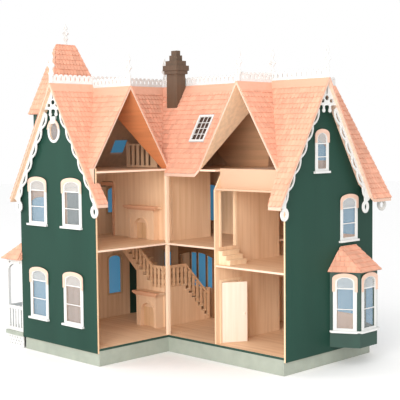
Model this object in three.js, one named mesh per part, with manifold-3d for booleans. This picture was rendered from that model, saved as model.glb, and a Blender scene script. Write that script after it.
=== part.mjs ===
// A 1:12 gothic dollhouse with an open back, in millimetres, +Z up.
//
// The plan is an L. The left arm runs along Y and the right arm along X, and the two open sides
// meet in the court corner at X = 0, Y = 0. The house is centred over its footprint at the end.

import * as THREE from 'three';
import * as BufferGeometryUtils from 'three/addons/utils/BufferGeometryUtils.js';
import Module from 'manifold-3d';

const wasm = await Module();
wasm.setup();

// ---- driving dimensions -------------------------------------------------------------------

const GAP = 0.3;                 // clearance between neighbours
const WALL = 5;                  // outer walls and partitions
const DECK = 5;                  // upper floors
const SAWN = 3;                  // thin sawn trim and balustrades

const LEFT = { x0: -343, x1: 0, y0: -259, y1: 304 };      // left arm with the corner block
const RIGHT = { x0: 0, x1: 435, y0: 0, y1: 380 };         // right arm with the rear wing
const WING_X0 = 103;             // side wall of the rear wing
const HALL_X = 185;              // partition between the hall and the right rooms

const WALL_FOOT = 35;            // outer walls hang this low over the foundation
const FOUNDATION_TOP = 41;
const GROUND = 47.5;             // finished floor levels
const SECOND = 312;
const SECOND_RIGHT = 265;
const ATTIC = 523;
const ATTIC_RIGHT = 473;

const PITCH = 1.64;              // rise over run of every main slope
const RIDGE = 761;
const LEFT_RIDGE_X = -165;
const RIGHT_RIDGE_Y = 145;
const EAVE_RUN = 198;            // plan distance from ridge to eave
const LEFT_GABLE = { y: -130, ridge: 751 };               // open cross gable of the left arm
const RIGHT_GABLE = { x: 270, ridge: 756 };               // open cross gable of the right arm
const ROOF_END = { left: -281, back: 352, right: 465, wing: 427 };
const STRIP = { left: -243, right: 424 };                 // inner edges of the low roof strips
const ROOF_DROP = 8;             // roof board thickness measured along Z
const CORNER_EAVE_Y = -8;        // the court corner has a short high eave

const STAIR = { x0: -148, x1: -88, y0: 68, y1: 142, level: 165, foot: 250, head: -322 };
const LOWER_STEPS = 8;
const UPPER_STEPS = 10;
const RAIL_HEIGHT = 65;
const BALUSTER_PITCH = 16.4;
const FIREBOX_DEPTH = 10;

const TOWER = { x0: -472, x1: -343.3, y0: -134, y1: 60, cut: 25, top: 684 };
const TOWER_ROOF = { eave: 684, ridge: 897, half: 35, overhang: 13 };
const BAY = { x1: 505, near: 184, far: 342, cut: 40, foot: 47, top: 250 };
const PORCH = { x0: -427, y0: -255, y1: -140, deck: 45, thick: 11, head: 258 };

// ---- materials ----------------------------------------------------------------------------

const paint = (color, roughness) => new THREE.MeshStandardMaterial({ color, roughness, metalness: 0 });
const GREEN = paint(0x35564c, 0.6);
const SAGE = paint(0xb8c0ae, 0.7);
const WOOD = paint(0xc99a68, 0.65);
const WHITE = paint(0xf7f7f2, 0.5);
const SHINGLE = paint(0xf2b48e, 0.8);
const BROWN = paint(0x5a3f30, 0.75);

const house = new THREE.Group();

// ---- solids -------------------------------------------------------------------------------

function add(name, geometry, material) {
  const mesh = new THREE.Mesh(geometry, material);
  mesh.name = name;
  house.add(mesh);
  return mesh;
}

function bare(geometry) {
  const copy = geometry.index ? geometry.toNonIndexed() : geometry.clone();
  copy.deleteAttribute('normal');
  copy.deleteAttribute('uv');
  return BufferGeometryUtils.mergeVertices(copy, 1e-3);
}

function solid(geometry) {
  const merged = bare(geometry);
  const vertProperties = new Float32Array(merged.attributes.position.array);
  const triVerts = new Uint32Array(merged.index.array);
  return new wasm.Manifold(new wasm.Mesh({ numProp: 3, vertProperties, triVerts }));
}

function surface(manifold) {
  const mesh = manifold.getMesh();
  const geometry = new THREE.BufferGeometry();
  geometry.setAttribute('position', new THREE.BufferAttribute(new Float32Array(mesh.vertProperties), 3));
  geometry.setIndex([...mesh.triVerts]);
  geometry.computeVertexNormals();
  return geometry;
}

function join(geometries) {
  return surface(geometries.map(solid).reduce((total, piece) => total.add(piece)));
}

function cut(body, tools) {
  return surface(tools.map(solid).reduce((total, tool) => total.subtract(tool), solid(body)));
}

function common(first, second) {
  return surface(solid(first).intersect(solid(second)));
}

function box(x0, y0, z0, x1, y1, z1) {
  const geometry = new THREE.BoxGeometry(x1 - x0, y1 - y0, z1 - z0);
  return geometry.translate((x0 + x1) / 2, (y0 + y1) / 2, (z0 + z1) / 2);
}

function outline(points) {
  return new THREE.Shape(points.map(([u, v]) => new THREE.Vector2(u, v)));
}

// The holes of a sheet are cut right through it, so neighbouring holes may line up.
function extrude(shape, depth) {
  const sheet = new THREE.ExtrudeGeometry(new THREE.Shape(shape.getPoints()), { depth, bevelEnabled: false });
  if (shape.holes.length === 0) return sheet;
  const through = { depth: depth + 2, bevelEnabled: false };
  return cut(sheet, shape.holes.map((hole) => new THREE.ExtrudeGeometry(hole, through).translate(0, 0, -1)));
}

// Plates cut from sheet: facing X, drawn in (y, z); facing Y, drawn in (x, z); flat, drawn in (x, y).
function plateX(shape, x0, thickness) {
  const frame = new THREE.Matrix4().makeBasis(
    new THREE.Vector3(0, 1, 0), new THREE.Vector3(0, 0, 1), new THREE.Vector3(1, 0, 0));
  return extrude(shape, thickness).applyMatrix4(frame).translate(x0, 0, 0);
}

function plateY(shape, y0, thickness) {
  const frame = new THREE.Matrix4().makeBasis(
    new THREE.Vector3(1, 0, 0), new THREE.Vector3(0, 0, 1), new THREE.Vector3(0, -1, 0));
  return extrude(shape, thickness).applyMatrix4(frame).translate(0, y0 + thickness, 0);
}

function plateZ(shape, z0, thickness) {
  return extrude(shape, thickness).translate(0, 0, z0);
}

// ---- window and slot outlines -------------------------------------------------------------

function arc(centre, level, halfWidth, rise, from, to) {
  const steps = 8;
  return Array.from({ length: steps + 1 }, (_, i) => {
    const angle = from + (to - from) * i / steps;
    return [centre + halfWidth * Math.cos(angle), level + rise * Math.sin(angle)];
  });
}

function archedHole(centre, width, foot, top, rise) {
  return outline([
    [centre - width / 2, foot], [centre + width / 2, foot],
    ...arc(centre, top - rise, width / 2, rise, 0, Math.PI),
  ]);
}

// A lancet: two arcs that meet in a point.
function pointedHole(centre, width, foot, top) {
  const spring = top - width * 0.87;
  const half = width / 2;
  return outline([
    [centre - half, foot], [centre + half, foot],
    ...arc(centre - half, spring, width, width, 0, Math.PI / 3),
    ...arc(centre + half, spring, width, width, Math.PI * 2 / 3, Math.PI).slice(1),
  ]);
}

function plainHole(u0, v0, u1, v1) {
  return outline([[u0, v0], [u1, v0], [u1, v1], [u0, v1]]);
}

function diamondHole(u, v, halfWidth, halfHeight) {
  return outline([[u - halfWidth, v], [u, v - halfHeight], [u + halfWidth, v], [u, v + halfHeight]]);
}

function ovalHole(u, v, halfWidth, halfHeight) {
  return outline([
    ...arc(u, v, halfWidth, halfHeight, 0, Math.PI),
    ...arc(u, v, halfWidth, halfHeight, Math.PI, 2 * Math.PI).slice(1, -1),
  ]);
}

function withHoles(shape, holes) {
  shape.holes.push(...holes);
  return shape;
}

// ---- roof surfaces ------------------------------------------------------------------------

const leftSlope = (x) => RIDGE - PITCH * Math.abs(x - LEFT_RIDGE_X);
const rightSlope = (y) => RIDGE - PITCH * Math.abs(y - RIGHT_RIDGE_Y);
const leftGableSlope = (y) => LEFT_GABLE.ridge - PITCH * Math.abs(y - LEFT_GABLE.y);
const rightGableSlope = (x) => RIGHT_GABLE.ridge - PITCH * Math.abs(x - RIGHT_GABLE.x);
const UNDER = ROOF_DROP + 2 * GAP;   // a wall top stays this far below the roof surface

function insetPolygon(points, distance) {
  const count = points.length;
  const area = points.reduce((sum, [x, y], i) => {
    const [nx, ny] = points[(i + 1) % count];
    return sum + x * ny - nx * y;
  }, 0);
  const ring = area > 0 ? points : [...points].reverse();
  const edges = ring.map(([x, y], i) => {
    const [nx, ny] = ring[(i + 1) % count];
    const length = Math.hypot(nx - x, ny - y);
    const normal = [-(ny - y) / length, (nx - x) / length];
    return { normal, offset: normal[0] * x + normal[1] * y + distance };
  });
  return edges.map((edge, i) => {
    const last = edges[(i + count - 1) % count];
    const det = last.normal[0] * edge.normal[1] - last.normal[1] * edge.normal[0];
    return [
      (last.offset * edge.normal[1] - edge.offset * last.normal[1]) / det,
      (last.normal[0] * edge.offset - edge.normal[0] * last.offset) / det,
    ];
  });
}

// A board with upright edges: the plan outline, its top on the slope and its bottom a drop below.
function roofBoard(plan, slope, { inset = GAP / 2, drop = ROOF_DROP } = {}) {
  const ring = insetPolygon(plan, inset);
  const points = ring.map(([x, y]) => new THREE.Vector2(x, y));
  const faces = THREE.ShapeUtils.triangulateShape(points, []);
  const count = ring.length;
  const positions = [];
  for (const level of [0, -drop]) {
    for (const [x, y] of ring) positions.push(x, y, slope(x, y) + level);
  }
  const index = [];
  for (const [a, b, c] of faces) {
    index.push(a, b, c, count + a, count + c, count + b);
  }
  for (let i = 0; i < count; i++) {
    const next = (i + 1) % count;
    index.push(i, count + i, count + next, i, count + next, next);
  }
  const geometry = new THREE.BufferGeometry();
  geometry.setAttribute('position', new THREE.BufferAttribute(new Float32Array(positions), 3));
  geometry.setIndex(index);
  geometry.computeVertexNormals();
  return geometry;
}

// The section of a two-slope roof, and the upright prism that trims it to its plan outline.
function chevron(centre, ridge, run) {
  const left = [centre - run, ridge - PITCH * run];
  const right = [centre + run, ridge - PITCH * run];
  return outline([
    [left[0], left[1] - ROOF_DROP], [centre, ridge - ROOF_DROP], [right[0], right[1] - ROOF_DROP],
    right, [centre, ridge], left,
  ]);
}

function planPrism(plan) {
  return plateZ(outline(insetPolygon(plan, GAP / 2)), WALL_FOOT, RIDGE);
}

// ---- foundation and floors ----------------------------------------------------------------

function foundation() {
  const inL = WALL + GAP;
  const left = { x0: LEFT.x0 + inL, y0: LEFT.y0 + inL, y1: LEFT.y1 - inL };
  const back = RIGHT.y1 - inL;
  const end = RIGHT.x1 - inL;
  const wing = WING_X0 + inL;
  const board = (x0, y0, x1, y1) => box(x0, y0, 0, x1, y1, FOUNDATION_TOP);
  add('foundation_court', join([
    board(-WALL, left.y0 + inL, 0, WALL),
    board(-WALL, 0, end - inL, WALL),
  ]), SAGE);
  add('foundation_front', join([
    board(left.x0, left.y0, 0, left.y0 + WALL),
    board(left.x0, left.y0, left.x0 + WALL, left.y1),
  ]), SAGE);
  add('foundation_back', join([
    board(end - WALL, 0, end, back),
    board(wing, back - WALL, end, back),
    board(wing, left.y1 - WALL, wing + WALL, back),
    board(left.x0 + inL, left.y1 - WALL, wing + WALL, left.y1),
  ]), SAGE);
}

function floors() {
  const x0 = LEFT.x0 + WALL + GAP;
  const y0 = LEFT.y0 + WALL + GAP;
  const leftBack = LEFT.y1 - WALL - GAP;
  const wingBack = RIGHT.y1 - WALL - GAP;
  const xEnd = RIGHT.x1 - WALL - GAP;
  const wing = WING_X0 + WALL + GAP;
  const hallEnd = HALL_X - GAP;
  const roomStart = HALL_X + WALL + GAP;
  const post = 9 + GAP;

  const groundDeck = GROUND - FOUNDATION_TOP - GAP;
  add('ground_floor_left', plateZ(outline([
    [x0, y0], [-GAP / 2, y0], [-GAP / 2, leftBack], [x0, leftBack],
  ]), FOUNDATION_TOP + GAP, groundDeck), WOOD);
  add('ground_floor_right', plateZ(outline([
    [GAP / 2, 0], [xEnd, 0], [xEnd, wingBack], [wing, wingBack], [wing, leftBack], [GAP / 2, leftBack],
  ]), FOUNDATION_TOP + GAP, groundDeck), WOOD);

  const stairHole = plainHole(STAIR.head - 3, STAIR.y0 - 2, STAIR.x0 - 4, STAIR.y1 + GAP);
  add('second_floor_left', plateZ(withHoles(outline([
    [x0, y0], [-GAP / 2, y0], [-GAP / 2, -GAP], [-post, -GAP], [-post, post], [-GAP / 2, post],
    [-GAP / 2, leftBack], [x0, leftBack],
  ]), [stairHole]), SECOND - DECK, DECK), WOOD);
  add('second_floor_hall', plateZ(outline([
    [GAP / 2, 0], [hallEnd, 0], [hallEnd, wingBack], [wing, wingBack], [wing, leftBack],
    [GAP / 2, leftBack],
  ]), SECOND - DECK, DECK), WOOD);
  add('second_floor_right', plateZ(outline([
    [roomStart, 0], [xEnd, 0], [xEnd, wingBack], [roomStart, wingBack],
  ]), SECOND_RIGHT - DECK, DECK), WOOD);

  // The attic floor stops where each slope comes down to it.
  const reach = (RIDGE - ROOF_DROP - 2 * GAP - ATTIC) / PITCH;
  const wingReach = (RIGHT_GABLE.ridge - ROOF_DROP - 2 * GAP - ATTIC) / PITCH;
  const atticLeft = LEFT_RIDGE_X - reach;
  const valley = { x: LEFT_RIDGE_X + reach, y: RIGHT_RIDGE_Y + reach };
  const gableLeft = RIGHT_GABLE.x - wingReach;
  const notch = { x: -26.5, y0: 0.8, y1: RIGHT_RIDGE_Y - reach };
  const atticStair = plainHole(-232, 66, -112, 132);
  add('attic_floor_main', plateZ(withHoles(outline([
    [atticLeft, y0], [0, y0], [0, notch.y0], [notch.x, notch.y0], [notch.x, notch.y1],
    [gableLeft, notch.y1], [gableLeft, 0], [HALL_X + WALL, 0], [HALL_X + WALL, wingBack],
    [gableLeft, wingBack], [gableLeft, valley.y], [valley.x, valley.y], [valley.x, leftBack],
    [atticLeft, leftBack],
  ]), [atticStair]), ATTIC - DECK, DECK), WOOD);
  const kerb = box(roomStart, 20, ATTIC_RIGHT - 1, RIGHT_GABLE.x + wingReach, 20 + SAWN, ATTIC + 3);
  add('attic_floor_right', join([plateZ(outline([
    [roomStart, 0], [xEnd, 0], [xEnd, wingBack], [roomStart, wingBack],
  ]), ATTIC_RIGHT - DECK, DECK), kerb]), WOOD);
}

// ---- outer walls --------------------------------------------------------------------------

function leftEndWall() {
  const valleyX = LEFT_RIDGE_X + (RIDGE - leftGableSlope(LEFT.y0)) / PITCH;
  const shape = outline([
    [LEFT.x0, WALL_FOOT], [LEFT.x1, WALL_FOOT],
    [LEFT.x1, leftGableSlope(LEFT.y0) - UNDER], [valleyX, leftSlope(valleyX) - UNDER],
    [LEFT_RIDGE_X, RIDGE - UNDER], [LEFT.x0, leftSlope(LEFT.x0) - UNDER],
  ]);
  const windows = [];
  for (const centre of [-257, -100]) {
    windows.push(archedHole(centre, 78, 372, 499, 14));
    windows.push(archedHole(centre, 78, 103, 242, 14));
  }
  windows.push(ovalHole(-175, 631, 21, 26));
  add('end_wall_left', plateY(withHoles(shape, windows), LEFT.y0, WALL), GREEN);
}

function rightEndWall() {
  const wingTop = rightGableSlope(RIGHT.x1) - UNDER;
  const foldY = RIGHT_RIDGE_Y + (RIDGE - UNDER - wingTop) / PITCH;
  const shape = outline([
    [RIGHT.y0, WALL_FOOT], [RIGHT.y1, WALL_FOOT], [RIGHT.y1, wingTop], [foldY, wingTop],
    [RIGHT_RIDGE_Y, RIDGE - UNDER], [RIGHT.y0, rightSlope(RIGHT.y0) - UNDER],
  ]);
  const windows = [
    pointedHole(152, 50, 521, 625),
    archedHole(268, 70, 331, 449, 13),
    plainHole(BAY.near + 12, GROUND + 8, BAY.far - 12, BAY.top - 12),
  ];
  add('end_wall_right', plateX(withHoles(shape, windows), RIGHT.x1 - WALL, WALL), GREEN);
}

function facadeWall() {
  const top = leftSlope(LEFT.x0) - UNDER;
  const y0 = LEFT.y0 + WALL + GAP;
  const y1 = LEFT.y1 - WALL - GAP;
  const shape = outline([
    [y0, WALL_FOOT], [y1, WALL_FOOT], [y1, top], [y0, top],
  ]);
  const windows = [
    archedHole(-195, 60, 56, 242, 12), archedHole(-195, 60, 340, 440, 12),
    archedHole(87, 50, 122, 241, 12), archedHole(87, 50, 378, 456, 10),
    archedHole(186, 60, 340, 440, 12),
    plainHole(149, GROUND + GAP, 223, 226), plainHole(-95, SECOND + GAP, 20, 450),
  ];
  add('facade_wall', plateX(withHoles(shape, windows), LEFT.x0, WALL), GREEN);
}

function backWalls() {
  const flatTop = rightSlope(LEFT.y1) - UNDER;
  const foldX = LEFT_RIDGE_X + (RIDGE - UNDER - flatTop) / PITCH;
  const wingEnd = WING_X0 - GAP;
  const shape = outline([
    [LEFT.x0, WALL_FOOT], [wingEnd, WALL_FOOT], [wingEnd, flatTop], [foldX, flatTop],
    [LEFT_RIDGE_X, RIDGE - UNDER], [LEFT.x0, leftSlope(LEFT.x0) - UNDER],
  ]);
  const windows = [
    plainHole(-207, 135, -182, 242), plainHole(-176, 135, -141, 242), plainHole(-135, 135, -110, 242),
    archedHole(-115, 56, 350, 462, 12), archedHole(-245, 56, 350, 462, 12),
    archedHole(-318, 34, 122, 241, 8), pointedHole(-165, 44, 560, 660), archedHole(50, 60, 103, 242, 12), archedHole(50, 60, 350, 450, 12),
  ];
  add('back_wall', plateY(withHoles(shape, windows), LEFT.y1 - WALL, WALL), GREEN);

  const sideTop = rightGableSlope(WING_X0) - UNDER;
  const sideStart = LEFT.y1 - WALL;
  const sideEnd = RIGHT.y1 - WALL - GAP;
  add('wing_side_wall', plateX(outline([
    [sideStart, WALL_FOOT], [sideEnd, WALL_FOOT], [sideEnd, sideTop], [sideStart, sideTop],
  ]), WING_X0, WALL), GREEN);

  const wallEnd = RIGHT.x1 - WALL - GAP;
  const wingShape = outline([
    [WING_X0, WALL_FOOT], [wallEnd, WALL_FOOT], [wallEnd, rightGableSlope(wallEnd) - UNDER],
    [RIGHT_GABLE.x, RIGHT_GABLE.ridge - UNDER], [WING_X0, sideTop],
  ]);
  const wingWindows = [pointedHole(RIGHT_GABLE.x, 50, 540, 645)];
  for (const centre of [190, 348]) {
    wingWindows.push(archedHole(centre, 64, 103, 232, 13));
    wingWindows.push(archedHole(centre, 64, 331, 449, 13));
  }
  add('wing_back_wall', plateY(withHoles(wingShape, wingWindows), RIGHT.y1 - WALL, WALL), GREEN);
}

// ---- partitions and the corner post --------------------------------------------------------

function partitions() {
  const floorTop = GROUND + GAP;
  const secondTop = SECOND + GAP;
  const atticUnder = ATTIC - DECK - GAP;
  const treadRun = (STAIR.x0 - STAIR.head) / UPPER_STEPS;
  const treadRise = (SECOND - STAIR.level) / UPPER_STEPS;
  const landingEnd = -212;
  const profile = [[landingEnd, floorTop], [STAIR.x1, floorTop], [STAIR.x1, STAIR.level], [STAIR.x0, STAIR.level]];
  for (let x = STAIR.x0, z = STAIR.level + treadRise; x > landingEnd; x -= treadRun, z += treadRise) {
    profile.push([x, z], [Math.max(x - treadRun, landingEnd), z]);
  }
  add('landing_wall', plateY(outline(profile), STAIR.y0, SAWN + 1), WOOD);

  const header = 478;
  const underSlope = (z) => LEFT_RIDGE_X - (RIDGE - UNDER - z) / PITCH;
  add('second_floor_partition', plateY(outline([
    [-285, secondTop], [-25, secondTop], [-25, atticUnder], [underSlope(atticUnder), atticUnder],
    [underSlope(header), header], [-285, header],
  ]), 40, WALL), WOOD);
  add('hall_wall', plateX(outline([
    [45 + GAP, secondTop], [202, secondTop], [202, atticUnder], [45 + GAP, atticUnder],
  ]), -30, WALL), WOOD);

  const frontTop = ATTIC_RIGHT - DECK;
  const setback = (atticUnder - frontTop) / PITCH;
  const backEnd = RIGHT.y1 - WALL - 2 * GAP;
  add('hall_partition', plateX(withHoles(outline([
    [0, floorTop], [22, floorTop], [22, 216], [97.6, 216], [97.6, floorTop], [266, floorTop],
    [266, 204], [300, 204], [300, floorTop], [backEnd, floorTop], [backEnd, atticUnder],
    [setback, atticUnder], [0, frontTop],
  ]), [
    plainHole(22, SECOND, 78, 464), plainHole(266, SECOND_RIGHT + GAP, 300, 393),
  ]), HALL_X, WALL), WOOD);

  add('corner_post', box(-9, 0, floorTop, 0, 9, atticUnder), WOOD);
}

// ---- stairs and balustrades -----------------------------------------------------------------

function stairs() {
  const floorTop = GROUND + GAP;
  const lowerRun = (STAIR.foot - STAIR.y1) / LOWER_STEPS;
  const lowerRise = (STAIR.level - floorTop) / LOWER_STEPS;
  const lower = [[STAIR.y1 + GAP, floorTop], [STAIR.foot, floorTop]];
  for (let step = 0; step < LOWER_STEPS; step++) {
    const y = STAIR.foot - step * lowerRun;
    const z = floorTop + (step + 1) * lowerRise;
    lower.push([y, z], [Math.max(y - lowerRun, STAIR.y1 + GAP), z]);
  }
  add('lower_stair_flight', plateX(outline(lower), STAIR.x0, STAIR.x1 - STAIR.x0), WOOD);

  add('stair_landing', plateY(outline([
    [STAIR.x0 + GAP, STAIR.level - 7], [STAIR.x1 - WALL, STAIR.level - 7], [STAIR.x1 - WALL, floorTop],
    [STAIR.x1, floorTop], [STAIR.x1, STAIR.level], [STAIR.x0 + GAP, STAIR.level],
  ]), STAIR.y0 + WALL, STAIR.y1 - STAIR.y0 - WALL), WOOD);

  const upperRun = (STAIR.x0 - STAIR.head) / UPPER_STEPS;
  const upperRise = (SECOND - STAIR.level) / UPPER_STEPS;
  const upper = [[STAIR.x0, STAIR.level - 19]];
  for (let step = 0; step < UPPER_STEPS; step++) {
    const x = STAIR.x0 - step * upperRun;
    const z = STAIR.level + (step + 1) * upperRise;
    upper.push([x, z], [x - upperRun, z]);
  }
  upper.push([STAIR.head, SECOND - 19]);
  add('upper_stair_flight', plateY(outline(upper), STAIR.y0 + WALL, STAIR.y1 - STAIR.y0 - WALL), WOOD);

  const steps = { count: 3, run: 14, rise: (SECOND - SECOND_RIGHT) / 4 };
  const x0 = HALL_X + WALL + GAP;
  const foot = SECOND_RIGHT + GAP;
  const profile = [[x0, foot], [x0 + steps.count * steps.run, foot]];
  for (let step = 0; step < steps.count; step++) {
    const x = x0 + (steps.count - step) * steps.run;
    profile.push([x, foot + (step + 1) * steps.rise], [x - steps.run, foot + (step + 1) * steps.rise]);
  }
  add('bedroom_steps', plateY(outline(profile), 12, 66), WOOD);
}

// Slots between sawn balusters, each between the lower and upper edge lines of the rail.
function railSlots(start, end, pitch, lower, upper) {
  const slots = [];
  const margin = 5;
  for (let u = start; u + pitch * 0.6 < end; u += pitch) {
    const v = u + pitch * 0.5;
    slots.push(outline([
      [u, lower(u) + margin], [v, lower(v) + margin], [v, upper(v) - margin], [u, upper(u) - margin],
    ]));
  }
  return slots;
}

function balustrades() {
  const floorTop = GROUND + GAP;
  const foot = STAIR.foot;
  const lowerRise = (STAIR.level - floorTop) / LOWER_STEPS;
  const lowerRun = (foot - STAIR.y1) / LOWER_STEPS;
  const lowerSlope = lowerRise / lowerRun;
  const shelf = STAIR.level + GAP;
  const tread = (y) => Math.min(shelf, floorTop + lowerRise + 1 + (foot - y) * lowerSlope);
  const handrail = (y) => Math.min(STAIR.level + RAIL_HEIGHT, tread(y) + RAIL_HEIGHT + 2);
  const bend = foot - (shelf - floorTop - lowerRise - 1) / lowerSlope;
  const bow = foot - (STAIR.level - floorTop - lowerRise - 3) / lowerSlope;
  const start = STAIR.y0 + 7;
  const railShape = outline([
    [start, shelf], [bend, shelf], [foot + 1, tread(foot + 1)], [foot + 1, floorTop],
    [foot + 9, floorTop], [foot + 9, 142], [foot + 1, 142], [foot, handrail(foot)],
    [bow, STAIR.level + RAIL_HEIGHT], [start, STAIR.level + RAIL_HEIGHT],
  ]);
  const slots = railSlots(start + 6, foot - 2, BALUSTER_PITCH, tread, handrail);
  add('lower_stair_rail', plateX(withHoles(railShape, slots), STAIR.x1 - SAWN - 1, SAWN), WOOD);

  const upperRun = (STAIR.x0 - STAIR.head) / UPPER_STEPS;
  const upperRise = (SECOND - STAIR.level) / UPPER_STEPS;
  const slope = upperRise / upperRun;
  const lastNosing = STAIR.head + upperRun;
  const under = (x) => {
    if (x > STAIR.x0) return shelf;
    const line = STAIR.level + upperRise + 1 + (STAIR.x0 - Math.max(x, lastNosing)) * slope;
    return line;
  };
  const over = (x) => STAIR.level + RAIL_HEIGHT + Math.max(0, STAIR.x0 + 8 - x) * slope;
  const right = STAIR.x1 - SAWN - 2;
  const upperShape = outline([
    [right, shelf], [right, over(right)], [STAIR.x0 + 8, over(right)], [STAIR.head, over(STAIR.head)],
    [STAIR.head, under(lastNosing)], [lastNosing, under(lastNosing)], [STAIR.x0, under(STAIR.x0)],
    [STAIR.x0 + GAP, shelf],
  ]);
  const upperSlots = railSlots(STAIR.head + 6, right - 4, BALUSTER_PITCH, (x) => under(x) + 1, over);
  add('upper_stair_rail', plateY(withHoles(upperShape, upperSlots), STAIR.y0, SAWN), WOOD);

  const attic = { x0: -240, x1: -104, y: 58, foot: ATTIC + GAP, top: ATTIC + 70 };
  const atticShape = outline([
    [attic.x0, attic.foot], [attic.x1, attic.foot], [attic.x1, attic.top + 6],
    [attic.x1 - 8, attic.top + 6], [attic.x1 - 8, attic.top], [attic.x0 + 8, attic.top],
    [attic.x0 + 8, attic.top + 6], [attic.x0, attic.top + 6],
  ]);
  const atticSlots = railSlots(attic.x0 + 14, attic.x1 - 8, 21, () => attic.foot, () => attic.top);
  add('attic_railing', plateY(withHoles(atticShape, atticSlots), attic.y, SAWN), WOOD);
}

// ---- fireplaces -----------------------------------------------------------------------------

function fireplace(name, { centre, half, front, back, foot, height, overhang, arch }) {
  const surround = plateY(outline([
    [centre - half, foot], [arch.centre - arch.half, foot],
    ...arc(arch.centre, arch.top - arch.half, arch.half, arch.half, Math.PI, 0),
    [arch.centre + arch.half, foot], [centre + half, foot], [centre + half, foot + height],
    [centre - half, foot + height],
  ]), front, FIREBOX_DEPTH);
  const block = box(centre - half, front + FIREBOX_DEPTH, foot, centre + half, back, foot + height);
  const shelf = foot + height;
  const mantel = box(centre - half - overhang, front - 8, shelf - 1, centre + half + overhang, back, shelf + 6);
  add(name, join([surround, block, mantel]), WOOD);
}

function fireplaces() {
  fireplace('parlor_fireplace', {
    centre: -135, half: 43, front: 38, back: STAIR.y0 - GAP, foot: GROUND + GAP, height: 99, overhang: 8,
    arch: { centre: -130, half: 29, top: 120 },
  });
  fireplace('bedroom_fireplace', {
    centre: -134, half: 55, front: 21, back: 40 - GAP, foot: SECOND + GAP, height: 92, overhang: 14,
    arch: { centre: -138, half: 28, top: 374 },
  });
}

// ---- main roofs -----------------------------------------------------------------------------

function roofs() {
  const rx = LEFT_RIDGE_X;
  const ry = RIGHT_RIDGE_Y;
  const { left, back, right, wing } = ROOF_END;
  const leftStep = (RIDGE - LEFT_GABLE.ridge) / PITCH;
  const rightStep = (RIDGE - RIGHT_GABLE.ridge) / PITCH;
  const gy = LEFT_GABLE.y;
  const gx = RIGHT_GABLE.x;
  const apexX = rx + leftStep;                 // where each cross ridge meets a main slope
  const apexY = ry - rightStep;
  const rearApexY = ry + rightStep;
  const rightHalf = (RIGHT_GABLE.ridge - ATTIC) / PITCH;
  const meetY = (LEFT_GABLE.ridge - RIDGE + PITCH * (gy + ry)) / (2 * PITCH);
  const leftRun = meetY - gy;
  const meetX = apexX + leftRun;
  const leftFoot = gy - leftRun;
  const eaveX = rx + EAVE_RUN;
  const eaveY = ry - EAVE_RUN;
  const backEave = ry + EAVE_RUN;
  const wingEaveX = gx - (backEave - rearApexY);

  add('left_roof_end', roofBoard([
    [rx, left], [rx, gy], [apexX, gy], [meetX, leftFoot], [GAP, leftFoot],
    [GAP, STRIP.left - 4], [eaveX, STRIP.left], [eaveX, left],
  ], leftSlope), SHINGLE);
  add('left_roof_corner', roofBoard([
    [rx, gy], [rx, ry], [meetX, meetY], [apexX, gy],
  ], leftSlope), SHINGLE);
  add('left_roof_back', roofBoard([
    [rx, ry], [eaveX, backEave], [eaveX, back], [rx, back],
  ], leftSlope), SHINGLE);
  const atticWindow = box(-283, 28, 560, -256, 77, 640);
  const front = roofBoard([
    [rx, left], [rx, back], [rx - EAVE_RUN, back], [rx - EAVE_RUN, TOWER.y1 + GAP],
    [TOWER.x1 + 1, TOWER.y1 + GAP], [TOWER.x1 + 1, TOWER.y0 - GAP], [rx - EAVE_RUN, TOWER.y0 - GAP],
    [rx - EAVE_RUN, left],
  ], leftSlope);
  add('left_roof_front', cut(front, [atticWindow]), SHINGLE);

  const leftGable = common(
    plateX(chevron(gy, LEFT_GABLE.ridge, leftRun), apexX, -apexX),
    planPrism([[apexX, gy], [meetX, meetY], [0, meetY], [0, leftFoot], [meetX, leftFoot]]),
  );
  // A small cheek closes the step between this gable and the low roof strip beside it.
  const cheek = plateY(outline([
    [meetX + 1, leftSlope(meetX + 1)], [-GAP, leftSlope(-GAP) + 1], [-GAP, ATTIC + 3],
  ]), leftFoot + GAP / 2, SAWN);
  add('left_gable_roof', join([leftGable, cheek]), SHINGLE);

  const mainRight = (x, y) => rightSlope(y);
  const skylightHole = box(46, 44, RIDGE - 200, 106, 92, RIDGE);
  const corner = roofBoard([
    [rx, ry], [meetX, meetY], [0, meetY], [0, CORNER_EAVE_Y],
    [gx - rightHalf + CORNER_EAVE_Y, CORNER_EAVE_Y], [gx - rightHalf, 0], [gx, apexY], [gx, ry],
  ], mainRight);
  add('right_roof_corner', cut(corner, [skylightHole]), SHINGLE);
  add('right_roof_end', roofBoard([
    [gx, ry], [gx, apexY], [gx + rightHalf, 0], [STRIP.right, eaveY], [right, eaveY], [right, ry],
  ], mainRight), SHINGLE);
  add('right_roof_back', roofBoard([
    [rx, ry], [gx, ry], [gx, rearApexY], [wingEaveX, backEave], [eaveX, backEave],
  ], mainRight), SHINGLE);
  add('right_roof_back_end', roofBoard([
    [gx, ry], [right, ry], [right, rearApexY + right - gx], [gx, rearApexY],
  ], mainRight), SHINGLE);

  add('right_gable_roof', common(
    plateY(chevron(gx, RIGHT_GABLE.ridge, rightHalf), 0, apexY),
    planPrism([[gx, apexY], [gx - rightHalf, 0], [gx + rightHalf, 0]]),
  ), SHINGLE);
  const wingRun = gx - wingEaveX;
  add('wing_roof', common(
    plateY(chevron(gx, RIGHT_GABLE.ridge, wingRun), rearApexY, wing - rearApexY),
    planPrism([
      [gx, rearApexY], [right, rearApexY + right - gx], [right, wing], [wingEaveX, wing], [wingEaveX, backEave],
    ]),
  ), SHINGLE);
}

function hull(points, faces) {
  const geometry = new THREE.BufferGeometry();
  geometry.setAttribute('position', new THREE.BufferAttribute(new Float32Array(points.flat()), 3));
  geometry.setIndex(faces.flat());
  geometry.computeVertexNormals();
  return geometry;
}

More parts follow.
